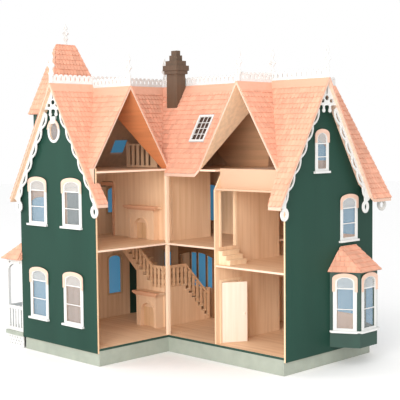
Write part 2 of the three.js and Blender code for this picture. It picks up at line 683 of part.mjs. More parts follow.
// A hipped cap: an eave ring that closes on a ridge of two points, one for each part of the ring.
function hippedCap(ring, eave, ridge, owner) {
  const points = [...ring.map(([x, y]) => [x, y, eave]), ...ridge];
  const count = ring.length;
  const faces = [];
  for (let i = 0; i < count; i++) {
    const next = (i + 1) % count;
    const a = count + owner[i];
    const b = count + owner[next];
    faces.push([i, next, b]);
    if (a !== b) faces.push([i, b, a]);
  }
  for (let i = 1; i < count - 1; i++) faces.push([0, i + 1, i]);
  return hull(points, faces);
}

function towerRing(grow) {
  const { x0, x1, y0, y1, cut: corner } = TOWER;
  return [
    [x0 - grow, y1 - corner], [x0 - grow, y0 + corner], [x0 + corner - grow / 2, y0 - grow],
    [x1 + grow, y0 - grow], [x1 + grow, y1 + grow], [x0 + corner - grow / 2, y1 + grow],
  ];
}

function tower() {
  const inset = insetPolygon(towerRing(0), WALL);
  const footing = plateZ(outline(inset), 0, WALL_FOOT - GAP);
  const core = plateZ(outline(insetPolygon(towerRing(0), 2 * WALL)), -1, WALL_FOOT - DECK);
  add('tower_foundation', cut(footing, [core]), SAGE);

  const outer = plateZ(outline(towerRing(0)), WALL_FOOT, TOWER.top - GAP - WALL_FOOT);
  const inner = plateZ(outline(inset), WALL_FOOT - 1, TOWER.top - WALL_FOOT + 2);
  const midY = (TOWER.y0 + TOWER.y1) / 2;
  const tools = [inner, plateX(outline([
    [-95, SECOND + GAP], [20, SECOND + GAP], [20, 450], [-95, 450],
  ]), TOWER.x1 - WALL - 1, WALL + 2)];
  for (const [foot, top] of [[103, 242], [350, 470], [540, 640]]) {
    tools.push(plateX(archedHole(midY, 56, foot, top, 14), TOWER.x0 - 1, WALL + 2));
  }
  add('tower_walls', cut(outer, tools), GREEN);

  const { eave, ridge, half, overhang } = TOWER_ROOF;
  const midX = (TOWER.x0 + TOWER.x1) / 2;
  const owner = [1, 0, 0, 0, 1, 1];
  const cap = hippedCap(towerRing(overhang), eave, [[midX, midY - half, ridge], [midX, midY + half, ridge]], owner);
  const hollow = hippedCap(towerRing(overhang - 5), eave - 1,
    [[midX, midY - half, ridge - 20], [midX, midY + half, ridge - 20]], owner);
  add('tower_roof', cut(cap, [hollow]), SHINGLE);

  add('tower_finial', plateX(finialShape(midY, ridge + GAP, 62), midX - SAWN / 2, SAWN), WHITE);
}

// ---- bay and porch ----------------------------------------------------------------------------

function bay() {
  const wall = RIGHT.x1 + GAP;
  const { x1, near, far, cut: corner, foot, top } = BAY;
  const outer = outline([
    [wall, near], [x1, near + corner], [x1, far - corner], [wall, far],
    [wall, far - 6], [x1 - WALL, far - corner - 3], [x1 - WALL, near + corner + 3], [wall, near + 6],
  ]);
  const shell = plateZ(outer, foot, top - foot);
  const middle = (near + far) / 2;
  const frontWindow = archedHole(middle, 50, 96, 236, 12);
  const sideTool = (sign) => {
    const tool = plateX(archedHole(0, 44, 96, 236, 12), -WALL - 3, 2 * WALL + 6);
    tool.rotateZ(sign * Math.atan2(x1 - wall, corner));
    const y = sign < 0 ? near + corner / 2 : far - corner / 2;
    return tool.translate((x1 + wall) / 2, y, 0);
  };
  const base = plateZ(outline([
    [wall, near + 6.5], [x1 - WALL, near + corner + 3.5], [x1 - WALL, far - corner - 3.5], [wall, far - 6.5],
  ]), foot, WALL);
  const body = join([shell, base]);
  add('bay_walls', cut(body, [plateX(frontWindow, x1 - 2 * WALL, 3 * WALL), sideTool(-1), sideTool(1)]), GREEN);

  const roofFoot = top + GAP;
  const over = 10;
  const ring = [
    [wall, near - over], [x1 + over, near + corner - over / 2], [x1 + over, far - corner + over / 2],
    [wall, far + over],
  ];
  const ridge = [[wall + 1, near + 44, 312], [wall + 1, far - 44, 312]];
  add('bay_roof', hippedCap(ring, roofFoot, ridge, [0, 0, 1, 1]), SHINGLE);
}

function porch() {
  const { x0, y0, y1, deck, thick, head } = PORCH;
  const wall = LEFT.x0 - GAP;
  const skirtTop = deck - thick;
  const lattice = (start, end) => {
    const holes = [];
    for (let row = 0; row < 2; row++) {
      for (let u = start + 9 + row * 6; u < end - 6; u += 12) {
        holes.push(diamondHole(u, 11 + row * 12, 3, 3));
      }
    }
    return holes;
  };
  const endSkirt = plateY(withHoles(outline([
    [x0, 0], [wall - 6, 0], [wall - 6, skirtTop + 1], [x0, skirtTop + 1],
  ]), lattice(x0, wall - 6)), y0, SAWN);
  const frontSkirt = plateX(withHoles(outline([
    [y0, 0], [y1, 0], [y1, skirtTop + 1], [y0, skirtTop + 1],
  ]), lattice(y0 + 4, y1)), x0, SAWN);
  const board = box(x0 - 4, y0 - 5, skirtTop, wall, y1, deck);
  add('porch_deck', join([endSkirt, frontSkirt, board]), SAGE);

  const foot = deck + GAP;
  const railTop = 118;
  const side = (start, end) => {
    const shape = outline([[start, foot], [end, foot], [end, head], [start, head]]);
    const holes = [archedHole((start + end) / 2, end - start - 14, railTop, head - 8, 26)];
    for (let u = start + 11; u < end - 12; u += 11) holes.push(plainHole(u, foot + 8, u + 6, railTop - 8));
    return withHoles(shape, holes);
  };
  const endSide = plateY(side(x0, wall - 1), y0, SAWN);
  const frontSide = plateX(side(y0, y1), x0, SAWN);
  const corner = box(x0 - 1, y0 - 1, foot, x0 + 7, y0 + 7, head);
  add('porch_frame', join([endSide, frontSide, corner]), WHITE);

  const roof = { top: 314, foot: head + GAP, over: 16 };
  const ring = [
    [x0 - 5, y1 - 1], [x0 - 5, y0 - roof.over], [wall, y0 - roof.over], [wall, y1 - 1],
  ];
  const ridge = [[wall - 1, y0 + 12, roof.top], [wall - 1, y1 - 1, roof.top]];
  add('porch_roof', hippedCap(ring, roof.foot, ridge, [1, 0, 0, 1]), SHINGLE);
}

// Three steps and a threshold outside the front door.
function entrySteps() {
  const wall = LEFT.x0 - GAP;
  const tread = 14;
  const rise = 11;
  const profile = [[wall, 0], [wall, 4 * rise]];
  for (let step = 0; step < 4; step++) {
    const x = wall - tread * (step + 1);
    const z = rise * (4 - step);
    profile.push([x, z], [x, z - rise]);
  }
  add('entry_steps', plateY(outline(profile), 145, 82), SAGE);
}

// ---- sawn trim ----------------------------------------------------------------------------------

// A flat finial: a stem with a bulb, a cross bar and a pointed head.
function finialPoints(centre, foot, height) {
  const profile = [
    [3.5, 0], [3.5, 0.25], [6, 0.36], [3, 0.46], [8.5, 0.56], [3, 0.66], [5.5, 0.8], [0, 1],
  ];
  const right = profile.map(([u, v]) => [centre + u, foot + v * height]);
  const left = profile.slice(0, -1).reverse().map(([u, v]) => [centre - u, foot + v * height]);
  return [...right, ...left];
}

function finialShape(centre, foot, height) {
  return outline(finialPoints(centre, foot, height));
}

function crestShape(start, end, foot) {
  const pitch = 18;
  const height = 25;
  const count = Math.round((end - start) / pitch);
  const step = (end - start) / count;
  const points = [[start, foot], [end, foot]];
  const holes = [];
  for (let i = count; i > 0; i--) {
    const u = start + (i - 0.5) * step;
    points.push([u + step / 2, foot + height - 5], [u, foot + height]);
    holes.push(diamondHole(u, foot + 12, 3, 6));
  }
  points.push([start, foot + height - 5]);
  return withHoles(outline(points), holes);
}

function crestings() {
  const foot = RIDGE + GAP;
  const half = SAWN / 2;
  const finial = 88;
  const rx = LEFT_RIDGE_X;
  const ry = RIGHT_RIDGE_Y;
  const gy = LEFT_GABLE.y;
  const gx = RIGHT_GABLE.x;
  const leftFoot = LEFT_GABLE.ridge + GAP;
  const rightFoot = RIGHT_GABLE.ridge + GAP;
  add('left_cresting', join([
    plateX(crestShape(ROOF_END.left, ry - 3, foot), rx - half, SAWN),
    plateX(finialShape(ROOF_END.left + 6, foot, finial), rx - half, SAWN),
    plateY(crestShape(rx + 10, -2, leftFoot), gy - half, SAWN),
    box(rx - half, gy - half, foot, rx + 12, gy + half, leftFoot + 18),
    plateY(finialShape(-8, leftFoot, finial), gy - half, SAWN),
  ]), WHITE);
  add('right_cresting', join([
    plateY(crestShape(rx - half, ROOF_END.right, foot), ry - half, SAWN),
    plateY(finialShape(rx + 6, foot, finial), ry - half, SAWN),
    plateY(finialShape(gx, foot, finial), ry - half, SAWN),
    plateY(finialShape(ROOF_END.right - 8, foot, finial), ry - half, SAWN),
    plateX(crestShape(2, ry - 6, rightFoot), gx - half, SAWN),
    plateX(finialShape(8, rightFoot, finial), gx - half, SAWN),
    plateX(crestShape(ry + 6, ROOF_END.wing, rightFoot), gx - half, SAWN),
    box(gx - half, ry - 8, foot, gx + half, ry + 8, rightFoot + 18),
  ]), WHITE);
}

// A vergeboard hangs under both rakes of a gable and swings out in a drop at each foot.
function vergeShape(centre, ridge, run) {
  const scallops = 9;
  const depth = 40;
  const top = (u) => ridge - PITCH * Math.abs(u - centre) - UNDER;
  const edge = (t) => depth + 7 * Math.abs(Math.sin(Math.PI * scallops * t));
  const points = [[centre - run, top(centre - run)], [centre - run, top(centre - run) - 58]];
  const samples = scallops * 4;
  for (let i = 0; i <= samples; i++) {
    const t = i / samples;
    const u = centre - run + 12 + (run - 12) * t;
    points.push([u, top(u) - edge(t)]);
  }
  for (let i = samples - 1; i >= 0; i--) {
    const t = i / samples;
    const u = centre + run - 12 - (run - 12) * t;
    points.push([u, top(u) - edge(t)]);
  }
  points.push([centre + run, top(centre + run) - 58], [centre + run, top(centre + run)]);
  points.push([centre, top(centre)]);
  return outline(points.reverse());
}

function vergeboards() {
  const run = EAVE_RUN - 6;
  add('left_vergeboard', plateY(vergeShape(LEFT_RIDGE_X, RIDGE, run), ROOF_END.left + 1, SAWN), WHITE);
  add('right_vergeboard', plateX(vergeShape(RIGHT_RIDGE_Y, RIDGE, run), ROOF_END.right - SAWN - 1, SAWN), WHITE);
  const wingRun = ROOF_END.right - RIGHT_GABLE.x - 6;
  const wingShape = vergeShape(RIGHT_GABLE.x, RIGHT_GABLE.ridge, wingRun);
  add('wing_vergeboard', plateY(wingShape, ROOF_END.wing - SAWN - 1, SAWN), WHITE);
}

// ---- chimney and skylight -----------------------------------------------------------------------

function chimney() {
  const shaft = { x0: -105, x1: -62, y0: 103, y1: 138 };
  const shoulder = 798;
  const roofAt = (y) => rightSlope(y) + GAP;
  const body = plateX(outline([
    [shaft.y0, roofAt(shaft.y0)], [shaft.y1, roofAt(shaft.y1)], [shaft.y1, shoulder], [shaft.y0, shoulder],
  ]), shaft.x0, shaft.x1 - shaft.x0);
  const step = (grow, z0, z1) => box(
    shaft.x0 - grow, shaft.y0 - grow, z0, shaft.x1 + grow, shaft.y1 + grow, z1);
  add('chimney', join([
    body, step(5, shoulder - 1, 808), step(8, 807, 822), step(2, 821, 836), step(-6, 835, 852),
    step(-10, 851, 866),
  ]), BROWN);
}

function skylight() {
  const frame = { x0: 47, x1: 105, y0: 45, y1: 91, bar: 5, rise: 6 };
  const outer = roofBoard([
    [frame.x0, frame.y0], [frame.x1, frame.y0], [frame.x1, frame.y1], [frame.x0, frame.y1],
  ], (x, y) => rightSlope(y) + frame.rise, { drop: frame.rise + 6 });
  const columns = 3;
  const rows = 4;
  const tools = [];
  const width = (frame.x1 - frame.x0 - 2 * frame.bar - (columns - 1) * 2) / columns;
  const depth = (frame.y1 - frame.y0 - 2 * frame.bar - (rows - 1) * 2) / rows;
  for (let column = 0; column < columns; column++) {
    for (let row = 0; row < rows; row++) {
      const x = frame.x0 + frame.bar + column * (width + 2);
      const y = frame.y0 + frame.bar + row * (depth + 2);
      tools.push(box(x, y, RIDGE - 250, x + width, y + depth, RIDGE));
    }
  }
  add('skylight_frame', cut(outer, tools), WHITE);
}

// ---- doors ----------------------------------------------------------------------------------------

// A leaf drawn closed with its hinge line on Z, then hung on that line at the angle it rests at.
function doorLeaf(name, width, height, thickness, place, angle, material) {
  const panel = box(-thickness, 0, 0, 0, width, height);
  const knobs = [];
  for (const side of [-thickness, 0]) {
    const knob = new THREE.SphereGeometry(3, 10, 8);
    knobs.push(knob.translate(side, width - 8, height * 0.47));
  }
  const leaf = add(name, join([panel, ...knobs]), material);
  leaf.position.set(...place);
  leaf.rotation.z = angle;
}

const KITCHEN_AJAR = THREE.MathUtils.degToRad(-29);

function doors() {
  const foot = GROUND + 2 * GAP;
  doorLeaf('kitchen_door', 73, 166, 4, [HALL_X + WALL + GAP, 23.3, foot], KITCHEN_AJAR, WOOD);
  const hinge = new THREE.Matrix4().makeScale(1, -1, 1);
  const leaf = join([box(-4, 0, 0, 0, 72, 176), box(-7, 62, 78, 3, 67, 83)]);
  const positions = leaf.clone().applyMatrix4(hinge);
  positions.setIndex([...positions.index.array].reverse());
  const door = add('front_door', positions, GREEN);
  door.position.set(LEFT.x0 + WALL + GAP, 222, foot);
}

foundation();
floors();
leftEndWall();
rightEndWall();
facadeWall();
backWalls();
partitions();
stairs();
balustrades();
fireplaces();
roofs();
tower();
bay();
porch();
entrySteps();
crestings();
vergeboards();
chimney();
skylight();
doors();

// The origin is on the ground under the middle of the house.
const bounds = new THREE.Box3().setFromObject(house);
house.position.set(-(bounds.min.x + bounds.max.x) / 2, -(bounds.min.y + bounds.max.y) / 2, 0);

export default house;
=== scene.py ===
"""The looks of the wooden dollhouse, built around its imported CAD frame.

House coordinates are millimetres. X runs along the right arm, Y along its depth and Z up, and
X = 0, Y = 0 is the court corner, where the corner post stands.
"""
import math
import random

import bmesh
import bpy
from mathutils import Matrix, Vector
from mathutils.geometry import tessellate_polygon


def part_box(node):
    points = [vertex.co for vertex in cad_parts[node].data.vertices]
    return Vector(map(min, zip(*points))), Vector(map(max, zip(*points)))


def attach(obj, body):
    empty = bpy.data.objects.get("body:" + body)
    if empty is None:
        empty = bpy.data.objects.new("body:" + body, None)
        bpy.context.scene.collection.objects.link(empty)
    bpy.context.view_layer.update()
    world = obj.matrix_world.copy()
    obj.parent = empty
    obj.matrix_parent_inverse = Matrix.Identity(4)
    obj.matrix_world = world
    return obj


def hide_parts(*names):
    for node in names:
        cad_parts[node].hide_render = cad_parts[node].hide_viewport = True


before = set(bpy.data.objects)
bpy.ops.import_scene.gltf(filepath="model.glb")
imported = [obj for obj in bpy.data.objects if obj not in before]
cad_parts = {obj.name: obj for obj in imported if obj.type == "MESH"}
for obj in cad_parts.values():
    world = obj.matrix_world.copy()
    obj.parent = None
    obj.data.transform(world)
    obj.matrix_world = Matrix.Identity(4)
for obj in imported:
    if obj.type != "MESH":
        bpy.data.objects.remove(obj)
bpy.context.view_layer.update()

# ---- the house, in millimetres ------------------------------------------------------------

POST_LOW, POST_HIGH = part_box("corner_post")
ORIGIN = Vector((POST_HIGH.x, POST_LOW.y, 0))
MM = 0.001

PITCH = 1.64
RIDGE = 761
LEFT_RIDGE_X = -165
RIGHT_RIDGE_Y = 145
EAVE_RUN = 198
LEFT_GABLE_Y = -130
LEFT_GABLE_RIDGE = 751
RIGHT_GABLE_X = 270
RIGHT_GABLE_RIDGE = 756
ATTIC = 523
ROOF_LEFT = -281
ROOF_BACK = 352
ROOF_RIGHT = 465
ROOF_WING = 427
LEFT_APEX_X = LEFT_RIDGE_X + (RIDGE - LEFT_GABLE_RIDGE) / PITCH
RIGHT_APEX_Y = RIGHT_RIDGE_Y - (RIDGE - RIGHT_GABLE_RIDGE) / PITCH
WING_APEX_Y = RIGHT_RIDGE_Y + (RIDGE - RIGHT_GABLE_RIDGE) / PITCH

# Outer faces of the walls, and how far the room side of a wall lies behind its outer face.
LEFT_END_FACE = -259
RIGHT_END_FACE = 435
FACADE_FACE = -343
BACK_FACE = 304
WING_FACE = 380
WALL = 5

# Storeys.
FLOOR_TOP = 47.8
SECOND_FLOOR = 312.4
RIGHT_SECOND_FLOOR = 265.3

# The tower: its outermost faces, the cut at its corners and the overhang of its roof.
TOWER_X = -472
TOWER_NEAR = -134
TOWER_FAR = 60
TOWER_CUT = 25
TOWER_EAVE = 13
TOWER_TOP = 682
TOWER_RIDGE = 897

# The bay, whose canted faces run from the wall to its front face.
BAY_WALL = 435.3
BAY_X = 505
BAY_NEAR = (184, 224)
BAY_FAR = (342, 302)
BAY_MIDDLE = 263

# The skylight in the right roof and the small window in the left roof, as plan rectangles.
SKYLIGHT = {"x0": 46, "x1": 106, "y0": 44, "y1": 92}
ATTIC_WINDOW = {"x0": -283, "x1": -256, "y0": 28, "y1": 77}

# Windows as (centre, width, foot, top).
FACADE_WINDOWS = [(-195, 60, 56, 242), (-195, 60, 340, 440), (87, 50, 122, 241), (87, 50, 378, 456),
                  (186, 60, 340, 440)]
BACK_WINDOWS = [(-318, 34, 122, 241), (-115, 56, 350, 462), (-245, 56, 350, 462), (50, 60, 103, 242),
                (50, 60, 350, 450)]


def place(x, y, z):
    """A point in house millimetres as a point in the row frame, in metres."""
    return ORIGIN + Vector((x, y, z)) * MM


# ---- materials ----------------------------------------------------------------------------

class Nodes:
    """A small helper that wires a material's nodes."""

    def __init__(self, name):
        self.material = bpy.data.materials.new(name)
        self.material.use_nodes = True
        self.tree = self.material.node_tree
        self.shader = self.tree.nodes["Principled BSDF"]

    def add(self, kind, **values):
        node = self.tree.nodes.new(kind)
        for key, value in values.items():
            if key in node.inputs:
                node.inputs[key].default_value = value
            else:
                setattr(node, key, value)
        return node

    def link(self, start, end):
        self.tree.links.new(start, end)

    def noise(self, scale, stretch=(1, 1, 1), detail=4.0):
        """Noise in object space, stretched by the given factors."""
        coordinates = self.add("ShaderNodeTexCoord")
        mapping = self.add("ShaderNodeMapping")
        mapping.inputs["Scale"].default_value = stretch
        noise = self.add("ShaderNodeTexNoise", Scale=scale, Detail=detail)
        self.link(coordinates.outputs["Object"], mapping.inputs["Vector"])
        self.link(mapping.outputs["Vector"], noise.inputs["Vector"])
        return noise.outputs["Fac"]

    def ramp(self, factor, stops):
        ramp = self.add("ShaderNodeValToRGB")
        for index, (position, color) in enumerate(stops):
            if index >= 2:
                ramp.color_ramp.elements.new(position)
            element = ramp.color_ramp.elements[index]
            element.position = position
            element.color = (*color, 1)
        self.link(factor, ramp.inputs["Fac"])
        return ramp.outputs["Color"]

    def mix(self, factor, first, second, blend="MIX"):
        mix = self.add("ShaderNodeMix", data_type="RGBA", blend_type=blend)
        sockets = [mix.inputs[0], mix.inputs[6], mix.inputs[7]]
        for socket, value in zip(sockets, (factor, first, second)):
            if isinstance(value, bpy.types.NodeSocket):
                self.link(value, socket)
            else:
                socket.default_value = value if isinstance(value, (int, float)) else (*value, 1)
        return mix.outputs[2]

    def facing(self, direction):
        """One where the surface faces the given way, zero elsewhere."""
        geometry = self.add("ShaderNodeNewGeometry")
        dot = self.add("ShaderNodeVectorMath", operation="DOT_PRODUCT")
        dot.inputs[1].default_value = direction
        step = self.add("ShaderNodeMath", operation="GREATER_THAN")
        step.inputs[1].default_value = 0.5
        self.link(geometry.outputs["Normal"], dot.inputs[0])
        self.link(dot.outputs["Value"], step.inputs[0])
        return step.outputs["Value"]

    def upright(self):
        """One on upright faces, such as sawn edges, and zero on level ones."""
        geometry = self.add("ShaderNodeNewGeometry")
        split = self.add("ShaderNodeSeparateXYZ")
        size = self.add("ShaderNodeMath", operation="ABSOLUTE")
        step = self.add("ShaderNodeMath", operation="LESS_THAN")
        step.inputs[1].default_value = 0.5
        self.link(geometry.outputs["Normal"], split.inputs["Vector"])
        self.link(split.outputs["Z"], size.inputs[0])
        self.link(size.outputs["Value"], step.inputs[0])
        return step.outputs["Value"]

    def bump(self, height, strength, distance):
        bump = self.add("ShaderNodeBump", Strength=strength, Distance=distance)
        self.link(height, bump.inputs["Height"])
        self.link(bump.outputs["Normal"], self.shader.inputs["Normal"])

    def finish(self, color, roughness):
        if isinstance(color, bpy.types.NodeSocket):
            self.link(color, self.shader.inputs["Base Color"])
        else:
            self.shader.inputs["Base Color"].default_value = (*color, 1)
        self.shader.inputs["Roughness"].default_value = roughness
        return self.material


WOOD_LIGHT = (0.90, 0.64, 0.43)
WOOD_DARK = (0.68, 0.42, 0.24)
EDGE_LIGHT = (0.84, 0.61, 0.47)
ROOF_EDGE = (0.70, 0.47, 0.36)
BOARD_FRONT = (0.60, 0.39, 0.26)
GREEN = (0.011, 0.050, 0.034)
SAGE = (0.34, 0.37, 0.31)
WHITE = (0.69, 0.69, 0.675)


def shade(color, factor):
    """A colour made darker or lighter."""
    return tuple(min(1, part * factor) for part in color)


def grain(nodes, along, light=WOOD_LIGHT, dark=WOOD_DARK):
    """Long soft streaks along one axis, with a slow change of tone over the sheet."""
    stretch = {"x": (0.5, 10, 10), "y": (10, 0.5, 10), "z": (10, 10, 0.5)}[along]
    streaks = nodes.noise(9, stretch, 6)
    clouds = nodes.noise(3.2, (1, 1, 1), 2)
    fine = nodes.ramp(streaks, [(0.32, dark), (0.62, light)])
    slow = nodes.ramp(clouds, [(0.3, dark), (0.7, light)])
    nodes.bump(streaks, 0.15, 0.0004)
    return nodes.mix(0.5, fine, slow)


def bare_wood(name, along="z", light=WOOD_LIGHT, dark=WOOD_DARK):
    nodes = Nodes(name)
    return nodes.finish(grain(nodes, along, light, dark), 0.62)


def floor_wood(name, along, edge=EDGE_LIGHT):
    """Plywood floor: streaks on the faces and a pale or painted sawn edge."""
    nodes = Nodes(name)
    return nodes.finish(nodes.mix(nodes.upright(), grain(nodes, along), edge), 0.6)


def painted_wall(name, outward):
    """Green paint on the outer face, bare sheet on the inner face and the sawn edges."""
    nodes = Nodes(name)
    brush = nodes.noise(7, (1, 1, 0.25), 5)
    coat = nodes.ramp(brush, [(0.3, shade(GREEN, 0.86)), (0.7, shade(GREEN, 1.16))])
    nodes.shader.inputs["Specular IOR Level"].default_value = 0.22
    return nodes.finish(nodes.mix(nodes.facing(outward), grain(nodes, "z"), coat), 0.55)


def paint(name, color, roughness=0.5, spread=0.06):
    nodes = Nodes(name)
    tone = nodes.noise(30, (1, 1, 1), 4)
    nodes.bump(tone, 0.08, 0.0003)
    stops = [(0.35, shade(color, 1 - spread)), (0.65, shade(color, 1 + spread))]
    return nodes.finish(nodes.ramp(tone, stops), roughness)


def roof_board(name, underside):
    """Roof sheet: stained boards below, in a tone that carries each roof's painted light and shade, and
    pale sawn edges.
    """
    nodes = Nodes(name)
    below = nodes.facing((0, 0, -1))
    tone = grain(nodes, "x", shade(underside, 1.12), shade(underside, 0.8))
    return nodes.finish(nodes.mix(below, ROOF_EDGE, tone), 0.65)


def shingle_material(name, color):
    """Stained shingles: each one has its own tone, and fine grain runs down the slope."""
    nodes = Nodes(name)
    tint = nodes.add("ShaderNodeAttribute", attribute_name="tint")
    own = nodes.ramp(tint.outputs["Fac"], [(0.0, shade(color, 0.80)), (1.0, shade(color, 1.1))])
    streak = nodes.noise(40, (1, 1, 0.3), 5)
    fibre = nodes.ramp(streak, [(0.35, shade(color, 0.86)), (0.65, shade(color, 1.08))])
    nodes.bump(streak, 0.25, 0.0004)
    return nodes.finish(nodes.mix(0.4, own, fibre), 0.75)


def pane_material(name, color, alpha, painted_glow=0):
    """A pane; its emission strength is painted light: the pane shines by itself with that share of its
    colour, standing for daylight through the glass.
    """
    nodes = Nodes(name)
    nodes.shader.inputs["Emission Color"].default_value = (*color, 1)
    nodes.shader.inputs["Emission Strength"].default_value = painted_glow
    nodes.shader.inputs["Alpha"].default_value = alpha
    streak = nodes.noise(4, (1, 1, 1), 2)
    tone = nodes.ramp(streak, [(0.3, shade(color, 0.85)), (0.7, color)])
    return nodes.finish(tone, 0.12)


MATERIALS = {
    "wood": bare_wood("bare_wood"),
    "wood_pale": bare_wood("pale_wood", "z", (0.93, 0.72, 0.50), (0.80, 0.55, 0.34)),
    "post": bare_wood("post_wood", "z", (0.95, 0.74, 0.56), (0.85, 0.60, 0.42)),
    "door": bare_wood("door_wood", "z", (0.93, 0.80, 0.69), (0.84, 0.66, 0.52)),
    "hearth": bare_wood("hearth_wood", "z", (0.80, 0.56, 0.37), (0.70, 0.45, 0.28)),
    "rail": bare_wood("rail_wood", "z", (0.80, 0.53, 0.33), (0.66, 0.40, 0.22)),
    # Darker wood for the window linings, which also gives the painted shade in the fireboxes.
    "lining": bare_wood("lining_wood_and_firebox_shade", "z", (0.72, 0.47, 0.28), (0.58, 0.34, 0.17)),
    "mantel": bare_wood("mantel_wood", "x", (0.74, 0.42, 0.26), (0.60, 0.30, 0.17)),
    "arch": bare_wood("arched_head_wood", "x", (0.78, 0.54, 0.43), (0.70, 0.46, 0.35)),
    # Dark wood for the hall's arched header and mullions: painted shade for wood that stands in shadow.
    "shaded_brown": bare_wood("brown_wood", "x", (0.34, 0.17, 0.07), (0.18, 0.08, 0.03)),
    "white": paint("white_paint", WHITE, 0.45, 0.04),
    "sage": paint("sage_paint", SAGE, 0.6),
    "green": paint("green_paint", GREEN, 0.5, 0.1),
    "chimney": bare_wood("chimney_wood", "z", (0.135, 0.080, 0.046), (0.080, 0.048, 0.028)),
    "ridge": bare_wood("ridge_wood", "x", (0.82, 0.42, 0.29), (0.74, 0.36, 0.24)),
    "shingle": shingle_material("salmon_shingle", (0.80, 0.40, 0.27)),
    "clear": pane_material("clear_pane", (0.75, 0.82, 0.85), 0.16),
    # The blue panes shine by themselves: painted light for the daylight behind them.
    "blue": pane_material("blue_pane", (0.07, 0.27, 0.47), 1, 0.45),
    # Near-opaque dark pane: painted shade for the unlit attic seen through the skylight.
    "painted_shade_pane": pane_material("painted_shade_pane", (0.07, 0.03, 0.015), 0.9),
}

OUTWARD = {
    "end_wall_left": (0, -1, 0),
    "end_wall_right": (1, 0, 0),
    "facade_wall": (-1, 0, 0),
    "back_wall": (0, 1, 0),
    "wing_side_wall": (-1, 0, 0),
    "wing_back_wall": (0, 1, 0),
}
FLOORS = {
    "second_floor_left": "y",
    "second_floor_hall": "x",
    "second_floor_right": "x",
    "attic_floor_main": "y",
    "attic_floor_right": "x",
}
# Underside tones of the roof boards: one stain, lightened on some roofs and darkened on others as painted
# light and shade.
ROOF_UNDERSIDE_LIGHT_AND_SHADE = {
    "left_roof_end": (0.70, 0.42, 0.25),
    "left_roof_corner": (0.45, 0.22, 0.10),
    "left_roof_back": (0.40, 0.22, 0.11),
    "left_roof_front": (0.68, 0.46, 0.31),
    "left_gable_roof": (0.62, 0.22, 0.085),
    "right_roof_corner": (0.74, 0.45, 0.26),
    "right_roof_end": (0.70, 0.44, 0.27),
    "right_roof_back": (0.76, 0.46, 0.27),
    "right_roof_back_end": (0.82, 0.56, 0.42),
    "right_gable_roof": (0.85, 0.58, 0.38),
    "wing_roof": (0.70, 0.44, 0.28),
    "tower_roof": (0.40, 0.22, 0.11),
    "bay_roof": (0.62, 0.34, 0.20),
    "porch_roof": (0.62, 0.34, 0.20),
}
PLAIN = {
    "sage": ["foundation_court", "foundation_front", "foundation_back", "tower_foundation",
             "porch_deck", "entry_steps"],
    "green": ["tower_walls", "bay_walls", "front_door"],
    "white": ["porch_frame", "left_cresting", "right_cresting", "tower_finial", "left_vergeboard",
              "right_vergeboard", "wing_vergeboard", "skylight_frame"],
    "chimney": ["chimney"],
    "post": ["corner_post"],
    "door": ["kitchen_door"],
    "hearth": ["parlor_fireplace", "bedroom_fireplace"],
    "wood_pale": ["bedroom_steps"],
    "wood": ["landing_wall", "second_floor_partition", "hall_wall", "hall_partition",
             "lower_stair_flight", "upper_stair_flight", "stair_landing", "lower_stair_rail",
             "upper_stair_rail", "attic_railing"],
}


def give(node_name, material):
    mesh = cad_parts[node_name].data
    mesh.materials.clear()
    mesh.materials.append(material)


def dress_frame():
    for name, outward in OUTWARD.items():
        give(name, painted_wall(name + "_paint", outward))
    for name, along in FLOORS.items():
        edge = BOARD_FRONT if name == "attic_floor_right" else EDGE_LIGHT
        give(name, floor_wood(name + "_wood", along, edge))
    for name in ("ground_floor_left", "ground_floor_right"):
        give(name, floor_wood(name + "_wood", "x", GREEN))
    for name, underside in ROOF_UNDERSIDE_LIGHT_AND_SHADE.items():
        give(name, roof_board(name + "_board", underside))
    for kind, names in PLAIN.items():
        for name in names:
            give(name, MATERIALS[kind])


# ---- pieces -------------------------------------------------------------------------------

def piece(name, mesh, material, body="house"):
    """A mesh in the row frame becomes a piece that rides on a body."""
    thing = bpy.data.objects.new(name, mesh)
    bpy.context.scene.collection.objects.link(thing)
    mesh.materials.append(MATERIALS[material] if isinstance(material, str) else material)
    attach(thing, body)
    return thing


def mesh_of(name, vertices, faces):
    mesh = bpy.data.meshes.new(name)
    mesh.from_pydata([place(*v) for v in vertices], [], faces)
    mesh.update()
    return mesh


# ---- shingles -----------------------------------------------------------------------------

COURSE = 16.0
TAB = 12.5
SHINGLE_THICK = 2.0
SHINGLE_LIFT = 0.3
RIDGE_BAND = 26
SIDE_GAP = 0.35
SCALLOP_RADIUS = 4.6
HEAD_LAP = COURSE * 1.15


def clip(polygon, region):
    """A polygon clipped by a convex region whose corners run anticlockwise."""
    for (x0, y0), (x1, y1) in zip(region, region[1:] + region[:1]):
        def side(point):
            return (x1 - x0) * (point[1] - y0) - (y1 - y0) * (point[0] - x0)
        clipped = []
        for first, second in zip(polygon, polygon[1:] + polygon[:1]):
            a = side(first)
            b = side(second)
            if a >= 0:
                clipped.append(first)
            if (a > 0 > b) or (a < 0 < b):
                t = a / (a - b)
                clipped.append(tuple(p + t * (q - p) for p, q in zip(first, second)))
        polygon = clipped
        if len(polygon) < 3:
            return []
    return polygon


def area_of(polygon):
    following = polygon[1:] + polygon[:1]
    return sum(x0 * y1 - x1 * y0 for (x0, y0), (x1, y1) in zip(polygon, following)) / 2


def tab_outline(u, v, width, scalloped):
    """One shingle in slope coordinates: its foot is at v and its head lies under the next course."""
    left = u + SIDE_GAP
    right = u + width - SIDE_GAP
    head = v + HEAD_LAP
    if not scalloped:
        return [(left, v), (right, v), (right, head), (left, head)]
    half = (right - left) / 2
    foot = []
    for step in range(7):
        angle = math.pi + math.pi * step / 6
        height = SCALLOP_RADIUS + SCALLOP_RADIUS * math.sin(angle)
        foot.append((left + half + half * math.cos(angle), v + height))
    return foot + [(right, head), (left, head)]


